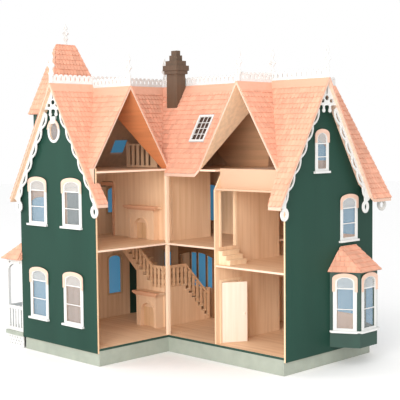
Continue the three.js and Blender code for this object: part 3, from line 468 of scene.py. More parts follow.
def shingled(name, corner, along, up, regions, seed):
    """Courses of shingles on a sloping plane, with scalloped and straight courses in turn.

    corner is a point of the plane's foot, along its level direction and up its steepest one.
    regions are convex outlines in (along, up) millimetres that the shingles are trimmed to.
    """
    origin = Vector(corner)
    along = Vector(along).normalized()
    up = Vector(up).normalized()
    normal = along.cross(up)
    if normal.z < 0:
        normal = -normal
    vertices = []
    faces = []
    tints = []
    chance = random.Random(seed)
    regions = [r if area_of(r) > 0 else r[::-1] for r in regions]
    low_u = min(u for region in regions for u, _ in region)
    high_u = max(u for region in regions for u, _ in region)
    high_v = max(v for region in regions for _, v in region)
    low_v = min(v for region in regions for _, v in region)
    for row in range(math.floor(low_v / COURSE), math.ceil(high_v / COURSE)):
        scalloped = row % 2 == 0
        shift = TAB / 2 if row % 4 in (1, 2) else 0
        for column in range(math.floor((low_u - shift) / TAB) - 1, math.ceil(high_u / TAB) + 1):
            foot = row * COURSE + chance.uniform(-0.3, 0.3)
            outline = tab_outline(column * TAB + shift, foot, TAB, scalloped)
            tint = chance.random()
            for region in regions:
                trimmed = clip(outline, region)
                if len(trimmed) < 3 or abs(area_of(trimmed)) < 2:
                    continue
                add_tab(vertices, faces, trimmed, foot, origin, along, up, normal)
                tints.extend([tint] * (len(trimmed) * 2))
    mesh = mesh_of(name, vertices, faces)
    layer = mesh.attributes.new("tint", "FLOAT", "POINT")
    layer.data.foreach_set("value", tints)
    return piece(name, mesh, "shingle")


def add_tab(vertices, faces, outline, foot, origin, along, up, normal):
    """One shingle's closed body: it is tilted, with its foot on the course below."""
    start = len(vertices)
    count = len(outline)
    for thick in (True, False):
        for u, v in outline:
            foot_share = 1 - (v - foot) / HEAD_LAP
            lift = SHINGLE_LIFT + foot_share * SHINGLE_THICK
            if thick:
                lift += SHINGLE_THICK * 0.75
            vertices.append(tuple(origin + along * u + up * v + normal * lift))
    flip = along.cross(up).dot(normal) < 0
    top = [start + i for i in range(count)]
    bottom = [start + count + i for i in range(count)]
    sides = [(bottom[i], bottom[(i + 1) % count], top[(i + 1) % count], top[i]) for i in range(count)]
    if flip:
        faces.append(tuple(top[::-1]))
        faces.append(tuple(bottom))
        faces.extend(side[::-1] for side in sides)
    else:
        faces.append(tuple(top))
        faces.append(tuple(bottom[::-1]))
        faces.extend(sides)


def slope_plane(name, plan_regions, height, along, downhill, seed):
    """Shingles and a plain ridge board for a main slope, from its outline in plan.

    height gives the roof surface over a plan point, downhill is the level way down the slope.
    """
    down = Vector((*downhill, 0)).normalized()
    level = Vector((*along, 0)).normalized()
    up = (-down + Vector((0, 0, PITCH))).normalized()
    run = math.hypot(1, PITCH)
    start_x, start_y = max((p for region in plan_regions for p in region),
                           key=lambda p: p[0] * down.x + p[1] * down.y)
    corner = Vector((start_x, start_y, height(start_x, start_y)))
    regions = []
    for region in plan_regions:
        points = []
        for x, y in region:
            offset = Vector((x - start_x, y - start_y, 0))
            points.append((offset.dot(level), -offset.dot(down) * run))
        regions.append(points)
    limit = max(v for region in regions for _, v in region) - RIDGE_BAND
    below = [part for part in (trim(region, -math.inf, limit) for region in regions) if part]
    above = [part for part in (trim(region, limit, math.inf) for region in regions) if part]
    normal = level.cross(up)
    if normal.z < 0:
        normal = -normal

    def on_slope(u, v, w):
        return tuple(corner + level * u + up * v + normal * w)

    band = Sheet()
    for part in above:
        band.plate([part], on_slope, 0.3, 2.8)
    band.finish(name.replace("shingles", "ridge_board"), "ridge")
    return shingled(name, corner, level, up, below, seed)


def trim(region, low, high):
    """The part of a region between two heights up the slope."""
    ring = region if area_of(region) > 0 else region[::-1]
    left = min(u for u, _ in ring) - 1
    right = max(u for u, _ in ring) + 1
    bottom = max(low, min(v for _, v in ring) - 1)
    top = min(high, max(v for _, v in ring) + 1)
    if top <= bottom:
        return []
    part = clip(ring, rectangle(left, bottom, right, top))
    return part if len(part) > 2 and area_of(part) > 1 else []


def left_slope(x, y):
    return RIDGE - PITCH * abs(x - LEFT_RIDGE_X)


def right_slope(x, y):
    return RIDGE - PITCH * abs(y - RIGHT_RIDGE_Y)


def left_gable_slope(x, y):
    return LEFT_GABLE_RIDGE - PITCH * abs(y - LEFT_GABLE_Y)


def right_gable_slope(x, y):
    return RIGHT_GABLE_RIDGE - PITCH * abs(x - RIGHT_GABLE_X)


def shingle_main_roofs():
    rx, ry = LEFT_RIDGE_X, RIGHT_RIDGE_Y
    gy, gx = LEFT_GABLE_Y, RIGHT_GABLE_X
    ax, ay, wy = LEFT_APEX_X, RIGHT_APEX_Y, WING_APEX_Y
    right_half = (RIGHT_GABLE_RIDGE - ATTIC) / PITCH
    meet_y = (LEFT_GABLE_RIDGE - RIDGE + PITCH * (gy + ry)) / (2 * PITCH)
    left_half = meet_y - gy
    left_foot = ax + left_half
    meet_x = left_foot
    back = ry + EAVE_RUN
    wing_x = gx - (back - wy)
    eave = rx + EAVE_RUN

    slope_plane("left_roof_end_shingles", [
        [(rx, ROOF_LEFT), (left_foot, ROOF_LEFT), (left_foot, gy - left_half), (ax, gy), (rx, gy)],
        [(left_foot, ROOF_LEFT), (0, ROOF_LEFT), (0, gy - left_half), (left_foot, gy - left_half)],
        [(0, ROOF_LEFT), (eave, ROOF_LEFT), (eave, -243), (0, -247)],
    ], left_slope, (0, 1), (1, 0), 11)
    slope_plane("left_roof_corner_shingles", [
        [(rx, gy), (ax, gy), (meet_x, meet_y), (rx, ry)],
    ], left_slope, (0, 1), (1, 0), 12)
    slope_plane("left_roof_back_shingles", [
        [(rx, ry), (eave, back), (eave, ROOF_BACK), (rx, ROOF_BACK)],
    ], left_slope, (0, 1), (1, 0), 13)
    tower_back = FACADE_FACE + 1
    near, far = TOWER_NEAR - 1, TOWER_FAR + 1
    front = rx - EAVE_RUN
    x0, x1, y0, y1 = (ATTIC_WINDOW[key] for key in ("x0", "x1", "y0", "y1"))
    slope_plane("left_roof_front_shingles", [
        [(rx, ROOF_LEFT), (rx, y0), (tower_back, y0), (tower_back, ROOF_LEFT)],
        [(rx, y0), (rx, y1), (x1, y1), (x1, y0)],
        [(x0, y0), (x0, y1), (tower_back, y1), (tower_back, y0)],
        [(rx, y1), (rx, ROOF_BACK), (tower_back, ROOF_BACK), (tower_back, y1)],
        [(tower_back, ROOF_LEFT), (tower_back, near), (front, near), (front, ROOF_LEFT)],
        [(tower_back, far), (tower_back, ROOF_BACK), (front, ROOF_BACK), (front, far)],
    ], left_slope, (0, 1), (-1, 0), 14)
    slope_plane("left_gable_near_shingles", [
        [(ax, gy), (0, gy), (0, gy - left_half), (left_foot, gy - left_half)],
    ], left_gable_slope, (1, 0), (0, -1), 15)
    slope_plane("left_gable_far_shingles", [
        [(ax, gy), (0, gy), (0, meet_y), (meet_x, meet_y)],
    ], left_gable_slope, (1, 0), (0, 1), 16)
    x0, x1, y0, y1 = (SKYLIGHT[key] for key in ("x0", "x1", "y0", "y1"))
    eave_y = -8
    valley_x = gx - right_half
    slope_plane("right_roof_corner_shingles", [
        [(rx, ry), (meet_x, meet_y), (0, meet_y), (0, ry)],
        [(0, eave_y), (x0, eave_y), (x0, ry), (0, ry)],
        [(x0, eave_y), (x1, eave_y), (x1, y0), (x0, y0)],
        [(x0, y1), (x1, y1), (x1, ry), (x0, ry)],
        [(x1, eave_y), (valley_x + eave_y, eave_y), (valley_x, 0), (gx, ay), (gx, ry), (x1, ry)],
    ], right_slope, (1, 0), (0, -1), 17)
    slope_plane("right_roof_end_shingles", [
        [(gx, ry), (gx, ay), (gx + right_half, 0), (ROOF_RIGHT, 0), (ROOF_RIGHT, ry)],
        [(gx + right_half, 0), (424, ry - EAVE_RUN), (ROOF_RIGHT, ry - EAVE_RUN), (ROOF_RIGHT, 0)],
    ], right_slope, (1, 0), (0, -1), 18)
    slope_plane("right_roof_back_shingles", [
        [(rx, ry), (gx, ry), (gx, wy), (wing_x, back), (eave, back)],
    ], right_slope, (1, 0), (0, 1), 19)
    slope_plane("right_roof_back_end_shingles", [
        [(gx, ry), (ROOF_RIGHT, ry), (ROOF_RIGHT, wy + ROOF_RIGHT - gx), (gx, wy)],
    ], right_slope, (1, 0), (0, 1), 20)
    slope_plane("right_gable_left_shingles", [
        [(gx, 0), (gx, ay), (gx - right_half, 0)],
    ], right_gable_slope, (0, 1), (-1, 0), 21)
    slope_plane("right_gable_right_shingles", [
        [(gx, 0), (gx + right_half, 0), (gx, ay)],
    ], right_gable_slope, (0, 1), (1, 0), 22)
    slope_plane("wing_left_shingles", [
        [(gx, wy), (gx, ROOF_WING), (wing_x, ROOF_WING), (wing_x, back)],
    ], right_gable_slope, (0, 1), (-1, 0), 23)
    slope_plane("wing_right_shingles", [
        [(gx, wy), (ROOF_RIGHT, wy + ROOF_RIGHT - gx), (ROOF_RIGHT, ROOF_WING), (gx, ROOF_WING)],
    ], right_gable_slope, (0, 1), (1, 0), 24)


# ---- sawn and moulded pieces --------------------------------------------------------------

class Sheet:
    """Collects sawn plates into one mesh, in house millimetres."""

    def __init__(self):
        self.vertices = []
        self.faces = []

    def plate(self, rings, spot, low, high):
        """A plate cut to an outline with holes; spot turns (u, v, w) into a house point."""
        start = len(self.vertices)
        flat = [point for ring in rings for point in ring]
        count = len(flat)
        for w in (low, high):
            self.vertices.extend(spot(u, v, w) for u, v in flat)
        loops = [[Vector((u, v, 0)) for u, v in ring] for ring in rings]
        for a, b, c in tessellate_polygon(loops):
            self.faces.append((start + a, start + b, start + c))
            self.faces.append((start + count + c, start + count + b, start + count + a))
        for ring in rings:
            for i in range(len(ring)):
                j = (i + 1) % len(ring)
                self.faces.append((start + i, start + j, start + count + j, start + count + i))
            start += len(ring)

    def bar(self, u0, v0, u1, v1, spot, low, high):
        self.plate([rectangle(u0, v0, u1, v1)], spot, low, high)

    def finish(self, name, material, body="house", slot=None, replaces=()):
        mesh = mesh_of(name, self.vertices, self.faces)
        shape = bmesh.new()
        shape.from_mesh(mesh)
        bmesh.ops.recalc_face_normals(shape, faces=shape.faces)
        shape.to_mesh(mesh)
        shape.free()
        made = piece(name, mesh, material, body)
        if replaces:
            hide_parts(*replaces)
        return made


def rectangle(u0, v0, u1, v1):
    return [(u0, v0), (u1, v0), (u1, v1), (u0, v1)]


def moulding(u0, v0, u1, v1, width):
    """A rectangular frame: its outer outline and its opening."""
    return [rectangle(u0, v0, u1, v1), rectangle(u0 + width, v0 + width, u1 - width, v1 - width)]


def oval(centre_u, centre_v, half_u, half_v, steps=20):
    return [(centre_u + half_u * math.cos(2 * math.pi * i / steps),
             centre_v + half_v * math.sin(2 * math.pi * i / steps)) for i in range(steps)]


def arched(centre, half, foot, top, rise):
    """An opening with a low arched head."""
    head = [(centre + half * math.cos(math.pi * i / 12), top - rise + rise * math.sin(math.pi * i / 12))
            for i in range(13)]
    return [(centre - half, foot), (centre + half, foot)] + head


def lancet(centre, half, foot, top):
    """An opening that ends in a point between two arcs."""
    spring = top - 2 * half * 0.87
    right = [(centre - half + 2 * half * math.cos(a), spring + 2 * half * math.sin(a))
             for a in (math.pi / 3 * i / 6 for i in range(7))]
    left = [(2 * centre - u, v) for u, v in right[:-1]][::-1]
    return [(centre - half, foot), (centre + half, foot)] + right + left


# ---- windows ------------------------------------------------------------------------------

def canted(start, end):
    """A frame on an upright face between two plan points, outside on its right-hand side."""
    along = (Vector(end) - Vector(start)).normalized()
    middle = (Vector(start) + Vector(end)) / 2

    def spot(u, v, w):
        return (middle.x + along.x * u + along.y * w, middle.y + along.y * u - along.x * w, v)
    return spot


WALL_FACES = {
    "end_left": lambda u, v, w: (u, LEFT_END_FACE - w, v),
    "end_right": lambda u, v, w: (RIGHT_END_FACE + w, u, v),
    "facade": lambda u, v, w: (FACADE_FACE - w, u, v),
    "back": lambda u, v, w: (u, BACK_FACE + w, v),
    "wing": lambda u, v, w: (u, WING_FACE + w, v),
    "tower": lambda u, v, w: (TOWER_X - w, u, v),
    "bay_front": lambda u, v, w: (BAY_X + w, u, v),
    "bay_near": canted((BAY_WALL, BAY_NEAR[0]), (BAY_X, BAY_NEAR[1])),
    "bay_far": canted((BAY_X, BAY_FAR[1]), (BAY_WALL, BAY_FAR[0])),
}
LATTICE_PITCH = 6.5
LATTICE_STRIP = 1.5
STILE = 7


def lattice(sheet, spot, region, low, high):
    """Thin crossed strips that fill a convex region."""
    left = min(u for u, _ in region)
    right = max(u for u, _ in region)
    foot = min(v for _, v in region)
    top = max(v for _, v in region)
    rise = top - foot
    for lean in (1, -1):
        steps = math.ceil((right - left + rise) / LATTICE_PITCH)
        for step in range(steps):
            u = left - (rise if lean > 0 else 0) + step * LATTICE_PITCH
            far = u + LATTICE_STRIP
            strip = [(u, foot), (far, foot), (far + lean * rise, top), (u + lean * rise, top)]
            trimmed = clip(strip, region)
            if len(trimmed) > 2 and area_of(trimmed) > 0.5:
                sheet.plate([trimmed], spot, low, high)


def window(name, wall, centre, width, foot, top, rise, pane, pointed=False):
    """A cased sash window: white stiles and sill, a bare arched head, a lattice in the top."""
    spot = WALL_FACES[wall]
    half = width / 2
    glass = half - STILE

    def shape(grow, low, high):
        if pointed:
            return lancet(centre, half + grow, low, high)
        return arched(centre, half + grow, low, high, rise)

    casing = Sheet()
    opening = shape(-STILE, foot + 2, top - STILE)
    casing.plate([shape(3, foot - 2, top + 2), opening], spot, 0.3, 2.6)
    casing.bar(centre - half - 9, foot - 7, centre + half + 5, foot - 1.5, spot, 0.3, 8)
    rail = top - STILE - max(28, (top - foot) * 0.21)
    middle = (rail + foot) / 2
    for level, thick in ((rail, 3.2), (middle, 2.4), (foot + 2, 3)):
        casing.bar(centre - glass - 1, level, centre + glass + 1, level + thick, spot, -1.2, 0.6)
    region = [(u, v) for u, v in opening if v > rail]
    region = [(centre - glass, rail), (centre + glass, rail)] + region
    lattice(casing, spot, region, -0.9, 0.1)
    casing.finish(name + "_casing", "white")

    head = Sheet()
    leg = foot + (top - foot) * 0.70
    outer = shape(5, leg, top + 5)
    inner = shape(-3, leg, top - 5)
    head.plate([head_band(outer, inner)], spot, 2.7, 4.2)
    head.finish(name + "_head", "arch")

    glazing = Sheet()
    glazing.plate([shape(-1, foot + 0.5, top - 1)], spot, -3.4, -2.8)
    glazing.finish(name + "_pane", pane)


def head_band(outer, inner):
    """The ring between two openings with the same foot line, open at the foot."""
    return [outer[0], inner[0]] + inner[:1:-1] + [inner[1]] + outer[1:]


def windows():
    """Every arched and pointed window, wall by wall."""
    for index, centre in enumerate((-257, -100)):
        window(f"left_end_lower_window_{index}", "end_left", centre, 78, 103, 242, 14, "clear")
        window(f"left_end_upper_window_{index}", "end_left", centre, 78, 372, 499, 14, "clear")
    window("right_end_attic_window", "end_right", 149, 50, 521, 625, 15, "clear")
    window("right_end_upper_window", "end_right", 268, 70, 331, 449, 13, "clear")
    window("bay_front_window", "bay_front", BAY_MIDDLE, 62, 94, 242, 14, "clear")
    window("bay_near_window", "bay_near", 0, 57, 94, 242, 14, "clear")
    window("bay_far_window", "bay_far", 0, 57, 94, 242, 14, "blue")
    for index, (centre, width, foot, top) in enumerate(FACADE_WINDOWS):
        window(f"facade_window_{index}", "facade", centre, width, foot, top, 12, "blue")
    for index, (centre, width, foot, top) in enumerate(BACK_WINDOWS):
        window(f"back_window_{index}", "back", centre, width, foot, top, 12, "blue")
    window("back_attic_window", "back", -165, 44, 560, 660, 12, "blue", pointed=True)
    window("wing_attic_window", "wing", 269, 50, 540, 645, 12, "blue", pointed=True)
    for index, centre in enumerate((190, 348)):
        window(f"wing_lower_window_{index}", "wing", centre, 64, 103, 232, 13, "blue")
        window(f"wing_upper_window_{index}", "wing", centre, 64, 331, 449, 13, "blue")
    for index, (foot, top) in enumerate(((103, 242), (350, 470), (540, 640))):
        window(f"tower_window_{index}", "tower", -37, 56, foot, top, 14, "blue")
    tall_hall_windows()


def tall_hall_windows():
    """Three tall windows behind the hall, in one group."""
    tall = Sheet()
    bars = Sheet()
    for u0, u1 in ((-207, -182), (-176, -141), (-135, -110)):
        tall.bar(u0 + 0.5, 135.5, u1 - 0.5, 241.5, WALL_FACES["back"], -3.4, -2.8)
        for level in (135, 185, 238):
            bars.bar(u0, level, u1, level + 3, WALL_FACES["back"], -2.4, 1)
        bars.plate([rectangle(u0 - 3, 131, u1 + 3, 246), rectangle(u0 + 3, 137, u1 - 3, 239)],
                   WALL_FACES["back"], 0.3, 2.6)
    tall.finish("back_tall_panes", "blue")
    bars.finish("back_tall_sashes", "white")


def oval_window():
    """The oval gable window: a white ring with a keystone, and a bare head over its upper half."""
    spot = WALL_FACES["end_left"]
    u, v = -175, 631
    surround = Sheet()
    surround.plate([oval(u, v, 27, 32), oval(u, v, 20, 25)], spot, 0.3, 3)
    surround.plate([[(u - 8, v + 21), (u + 8, v + 21), (u + 12, v + 41), (u - 12, v + 41)]], spot, 0.3, 5.5)
    surround.finish("oval_window_ring", "white")
    top = Sheet()
    outer = [point for point in oval(u, v, 28.5, 33.5, 40) if point[1] > v + 5]
    inner = [point for point in oval(u, v, 21.5, 26.5, 40) if point[1] > v + 5]
    top.plate([outer + inner[::-1]], spot, 3.1, 4.6)
    top.finish("oval_window_head", "arch")
    pane = Sheet()
    pane.plate([oval(u, v, 20.5, 25.5)], spot, -3.4, -2.8)
    pane.finish("oval_window_pane", "clear")


# ---- sawn trim ----------------------------------------------------------------------------

SCALLOP = 48
HALF_CRESCENT = 17
PEAK_LENGTH = 79
DROP_SHARE = 172 / EAVE_RUN
DROP_BELOW = 62
ROOF_BOARD = 8


def vergeboard(name, spot, centre, ridge, run, node, low, high):
    """Scalloped gingerbread under both rakes, a pendant loop at each foot, drops at the peak."""
    run_length = math.hypot(1, PITCH)
    sheet = Sheet()
    cover = 0.85 * low  # the strip that the roof end hides

    def under(side, along, depth):
        """A point below the underside of a rake."""
        u = along / run_length
        z = ridge - ROOF_BOARD - PITCH * u
        return (centre + side * (u - depth * PITCH / run_length), z - depth / run_length)

    end = (run - 6) * run_length
    first = PEAK_LENGTH
    for side in (1, -1):
        samples = []
        steps = int((end - first) / 4)
        for i in range(steps + 1):
            along = first + (end - first) * i / steps
            bulge = abs(math.sin(math.pi * (along - first) / SCALLOP))
            samples.append((along, cover + 4.5 + 8.5 * bulge ** 0.8))
        lower = [under(side, along, depth) for along, depth in samples]
        upper = [under(side, along, -1) for along, _ in samples][::-1]
        holes = []
        count = int((end - first) / SCALLOP)
        for i in range(count):
            middle = first + (i + 0.5) * SCALLOP
            top = [under(side, middle + HALF_CRESCENT * t, cover + 0.4) for t in (-1, -0.5, 0, 0.5, 1)]
            low_edge = [under(side, middle + HALF_CRESCENT * t, cover + 8.4 - 6 * t * t)
                        for t in (0.9, 0.6, 0.3, 0, -0.3, -0.6, -0.9)]
            holes.append(top + low_edge)
        sheet.plate([lower + upper] + holes, spot, low, high)
        foot_u = centre + side * DROP_SHARE * run
        foot_z = ridge - PITCH * DROP_SHARE * run - DROP_BELOW
        sheet.plate([oval(foot_u, foot_z, 15, 17), oval(foot_u, foot_z, 5, 8)], spot, low, high)
        neck = [(foot_u - 5, foot_z + 12), (foot_u + 5, foot_z + 12),
                under(side, end - 2, 3) if side > 0 else (foot_u + 6, foot_z + 50),
                (foot_u - 6, foot_z + 50) if side > 0 else under(side, end - 2, 3)]
        sheet.plate([neck], spot, low + 0.1, high - 0.1)
    peak(sheet, spot, centre, ridge, low, high)
    sheet.finish(name, "white", slot="white_trim", replaces=(node,))


def peak(sheet, spot, centre, ridge, low, high):
    """The pierced peak of a vergeboard, with two round drops below it."""
    top = ridge - ROOF_BOARD
    shoulder = top - 58
    half = (top - shoulder) / PITCH + 4
    outline = [(centre, top + 1), (centre - half, shoulder - 4)]
    for drop in (-13, 13):
        outline += [(centre + drop - 9, shoulder - 4), (centre + drop - 3, shoulder - 6),
                    (centre + drop - 3, shoulder - 12)]
        outline += [(centre + drop - 5.5 * math.cos(math.pi * i / 8),
                     shoulder - 17 - 6 * math.sin(math.pi * i / 8)) for i in range(9)]
        outline += [(centre + drop + 3, shoulder - 12), (centre + drop + 3, shoulder - 6),
                    (centre + drop + 9, shoulder - 4)]
    outline.append((centre + half, shoulder - 4))
    slot = rectangle(centre - 2.6, top - 34, centre + 2.6, top - 13)
    trefoil = oval(centre, top - 43, 8.5, 6.5, 12)
    wings = [oval(centre + side * 18, top - 51, 7.5, 5, 12) for side in (-1, 1)]
    sheet.plate([outline, slot, trefoil] + wings, spot, low + 0.05, high - 0.05)


def vergeboards():
    vergeboard("left_gingerbread", lambda u, v, w: (u, ROOF_LEFT + w, v), LEFT_RIDGE_X, RIDGE,
               EAVE_RUN, "left_vergeboard", 11, 14)
    vergeboard("right_gingerbread", lambda u, v, w: (ROOF_RIGHT - w, u, v), RIGHT_RIDGE_Y, RIDGE,
               EAVE_RUN, "right_vergeboard", 8, 11)
    vergeboard("wing_gingerbread", lambda u, v, w: (u, ROOF_WING - w, v), RIGHT_GABLE_X,
               RIGHT_GABLE_RIDGE, ROOF_RIGHT - RIGHT_GABLE_X, "wing_vergeboard", 8, 11)


CREST_PITCH = 16.3
FINIAL = [(4.2, 0), (4.2, 0.16), (6.5, 0.24), (9.0, 0.30), (5.8, 0.36), (4.0, 0.42), (6.5, 0.48),
          (12.4, 0.55), (10.4, 0.60), (4.4, 0.66), (4.0, 0.72), (7.5, 0.79), (6.5, 0.86), (3.4, 0.93),
          (0.8, 1.0)]


def crest(sheet, spot, start, end, foot):
    """A run of cresting: a slot below each rounded tooth."""
    count = max(1, round((end - start) / CREST_PITCH))
    pitch = (end - start) / count
    top = []
    holes = []
    for i in range(count, 0, -1):
        middle = start + (i - 0.5) * pitch
        top += [(middle + pitch * t, foot + 25 - 6.5 * (2 * abs(t)) ** 2.2)
                for t in (0.5, 0.34, 0.2, 0.08, -0.08, -0.2, -0.34)]
        holes.append(oval(middle, foot + 12.5, 2.7, 6.4, 12))
    outline = [(start, foot - 1), (end, foot - 1)] + top + [(start, foot + 18.5)]
    sheet.plate([outline] + holes, spot, -1.5, 1.5)


def finial(sheet, spot, centre, foot, height):
    """Two sawn profiles that cross at a right angle."""
    right = [(centre + u, foot + v * height) for u, v in FINIAL]
    left = [(2 * centre - u, v) for u, v in right][::-1]
    sheet.plate([right + left], spot, -1.7, 1.7)
    sheet.plate([right + left], lambda u, v, w: spot(centre + w, v, u - centre), -1.7, 1.7)


def crestings():
    """The ridge crestings of both arms with their finials, and the tower's spire."""
    rx, ry = LEFT_RIDGE_X, RIGHT_RIDGE_Y
    gy, gx = LEFT_GABLE_Y, RIGHT_GABLE_X
    foot = RIDGE + 1.5
    left_foot = LEFT_GABLE_RIDGE + 1.5
    right_foot = RIGHT_GABLE_RIDGE + 1.5

    def along_y(x):
        return lambda u, v, w: (x + w, u, v)

    def along_x(y):
        return lambda u, v, w: (u, y + w, v)

    left = Sheet()
    crest(left, along_y(rx), ROOF_LEFT + 1, ry - 4, foot)
    finial(left, along_y(rx), ROOF_LEFT + 8, foot, 86)
    crest(left, along_x(gy), rx + 3, -2, left_foot)
    finial(left, along_x(gy), -9, left_foot, 88)
    left.finish("left_ridge_cresting", "white", slot="white_trim", replaces=("left_cresting",))
    right = Sheet()
    crest(right, along_x(ry), rx + 3, ROOF_RIGHT - 1, foot)
    for centre in (rx + 6, gx, ROOF_RIGHT - 9):
        finial(right, along_x(ry), centre, foot, 86)
    crest(right, along_y(gx), 2, ry - 3, right_foot)
    finial(right, along_y(gx), 9, right_foot, 88)
    crest(right, along_y(gx), ry + 3, ROOF_WING - 1, right_foot)
    right.finish("right_ridge_cresting", "white", slot="white_trim", replaces=("right_cresting",))
    tower = Sheet()
    low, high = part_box("tower_finial")
    middle = (low + high) / 2 - ORIGIN
    finial(tower, along_y(middle.x / MM), middle.y / MM, low.z / MM, (high.z - low.z) / MM)
    tower.finish("tower_spire", "white", slot="white_trim", replaces=("tower_finial",))


# ---- shingles on the small roofs ----------------------------------------------------------

def face_shingles(name, corners, seed):
    """Shingles on a flat roof face; its first two corners are its foot."""
    points = [Vector(corner) for corner in corners]
    along = (points[1] - points[0]).normalized()
    up = points[2] - points[0]
    up = (up - along * up.dot(along)).normalized()
    region = [((p - points[0]).dot(along), (p - points[0]).dot(up)) for p in points]
    shingled(name, points[0], along, up, [region], seed)


def hip_shingles(name, ring, eave, ridge, owner, seed):
    """Shingles on every face of a hipped roof; owner says which ridge end each corner runs to.

    The last side of a roof that leans on a wall has no face.
    """
    for i, (x, y) in enumerate(ring):
        following = ring[(i + 1) % len(ring)]
        first = ridge[owner[i]]
        second = ridge[owner[(i + 1) % len(ring)]]
        corners = [(x, y, eave), (*following, eave), second]
        if first != second:
            corners.append(first)
        if name != "tower" and i == len(ring) - 1:
            continue
        face_shingles(f"{name}_shingles_{i}", corners, seed + i)


def shingle_small_roofs():
    wall = FACADE_FACE - 0.3
    x0, x1 = TOWER_X - TOWER_EAVE, wall + TOWER_EAVE
    y0, y1 = TOWER_NEAR - TOWER_EAVE, TOWER_FAR + TOWER_EAVE
    cut_x = TOWER_X + TOWER_CUT - TOWER_EAVE / 2
    ring = [(x0, TOWER_FAR - TOWER_CUT), (x0, TOWER_NEAR + TOWER_CUT), (cut_x, y0), (x1, y0), (x1, y1),
            (cut_x, y1)]
    x, y = (TOWER_X + wall) / 2, (TOWER_NEAR + TOWER_FAR) / 2
    ridge = [(x, y - 35, TOWER_RIDGE), (x, y + 35, TOWER_RIDGE)]
    hip_shingles("tower", ring, TOWER_TOP + 2, ridge, [1, 0, 0, 0, 1, 1], 40)
    eave_x = BAY_X + 10
    hip_shingles("bay", [(BAY_WALL, 174), (eave_x, 219), (eave_x, 307), (BAY_WALL, 352)], 250.3,
                 [(BAY_WALL + 1, 228, 312), (BAY_WALL + 1, 298, 312)], [0, 0, 1, 1], 60)
    hip_shingles("porch", [(-432, -141), (-432, -271), (wall, -271), (wall, -141)], 258.3,
                 [(wall - 1, -243, 314), (wall - 1, -141, 314)], [1, 0, 0, 1], 70)


# ---- stairs, rails and joinery ------------------------------------------------------------

LANDING = 165
STAIR_LEFT, STAIR_RIGHT = -148, -88
STAIR_NEAR, STAIR_FAR = 68, 142
STAIR_FOOT = 250
STAIR_HEAD = -322
LOWER_RISE = (LANDING - FLOOR_TOP) / 8
LOWER_RUN = (STAIR_FOOT - STAIR_FAR) / 8
UPPER_RISE = (SECOND_FLOOR - 0.4 - LANDING) / 10
UPPER_RUN = (STAIR_LEFT - STAIR_HEAD) / 10
RAIL = 65
BALUSTER_PITCH = 16.4
BALUSTER = [(6.0, 0), (6.0, 0.10), (3.6, 0.16), (5.6, 0.30), (5.2, 0.38), (3.0, 0.48), (4.6, 0.54),
            (3.0, 0.60), (5.4, 0.72), (5.0, 0.80), (3.4, 0.87), (6.0, 0.93), (6.0, 1)]


def balusters(sheet, spot, places, foot, top, low, high):
    """A row of turned profiles; foot and top give the height of their ends at a place."""
    for u in places:
        base = foot(u)
        height = top(u) - base
        right = [(u + half, base + share * height) for half, share in BALUSTER]
        left = [(2 * u - a, b) for a, b in right][::-1]
        sheet.plate([right + left], spot, low, high)


def stair_rails():
    """Handrails on turned balusters beside both flights, and the newel at the foot."""
    def lower_foot(y):
        return min(LANDING + 0.4, FLOOR_TOP + LOWER_RISE + 1 + (STAIR_FOOT - y) * LOWER_RISE / LOWER_RUN)

    def lower_top(y):
        return min(LANDING + RAIL - 6, lower_foot(y) + RAIL - 4)

    def spot(u, v, w):
        return (STAIR_RIGHT - 1 + w, u, v)

    lower = Sheet()
    count = int((STAIR_FOOT - 5 - STAIR_NEAR - 9) / BALUSTER_PITCH) + 1
    balusters(lower, spot, [STAIR_NEAR + 9 + i * BALUSTER_PITCH for i in range(count)],
              lower_foot, lower_top, -3, 0)
    bend = STAIR_FOOT - (LANDING - FLOOR_TOP - LOWER_RISE - 3) * LOWER_RUN / LOWER_RISE
    line = [(STAIR_NEAR + 4, LANDING + RAIL), (bend, LANDING + RAIL),
            (STAIR_FOOT + 2, lower_top(STAIR_FOOT) + 6)]
    lower.plate([line + [(u, v - 7) for u, v in line[::-1]]], spot, -5, 2)
    lower.bar(STAIR_FOOT + 1, FLOOR_TOP, STAIR_FOOT + 8.5, 142, spot, -4.5, 3)
    lower.bar(STAIR_FOOT - 0.5, 142, STAIR_FOOT + 10, 146, spot, -6, 4.5)
    lower.finish("lower_balustrade", "rail", slot="bare_wood", replaces=("lower_stair_rail",))

    slope = UPPER_RISE / UPPER_RUN
    last = STAIR_HEAD + UPPER_RUN

    def upper_foot(x):
        if x > STAIR_LEFT:
            return LANDING + 0.4
        return LANDING + UPPER_RISE + 1 + (STAIR_LEFT - max(x, last)) * slope

    def upper_top(x):
        return LANDING + RAIL - 6 + max(0, STAIR_LEFT + 8 - x) * slope

    def front(u, v, w):
        return (u, STAIR_NEAR + 2 - w, v)

    upper = Sheet()
    count = int((STAIR_RIGHT - 12 - STAIR_HEAD - 6) / BALUSTER_PITCH) + 1
    balusters(upper, front, [STAIR_HEAD + 12 + i * BALUSTER_PITCH for i in range(count)],
              upper_foot, upper_top, -1.5, 1.5)
    line = [(STAIR_HEAD, upper_top(STAIR_HEAD) + 6), (STAIR_LEFT + 8, LANDING + RAIL),
            (STAIR_RIGHT - 6, LANDING + RAIL)]
    upper.plate([line + [(u, v - 7) for u, v in line[::-1]]], front, -3.5, 3.5)
    upper.finish("upper_balustrade", "rail", slot="bare_wood", replaces=("upper_stair_rail",))


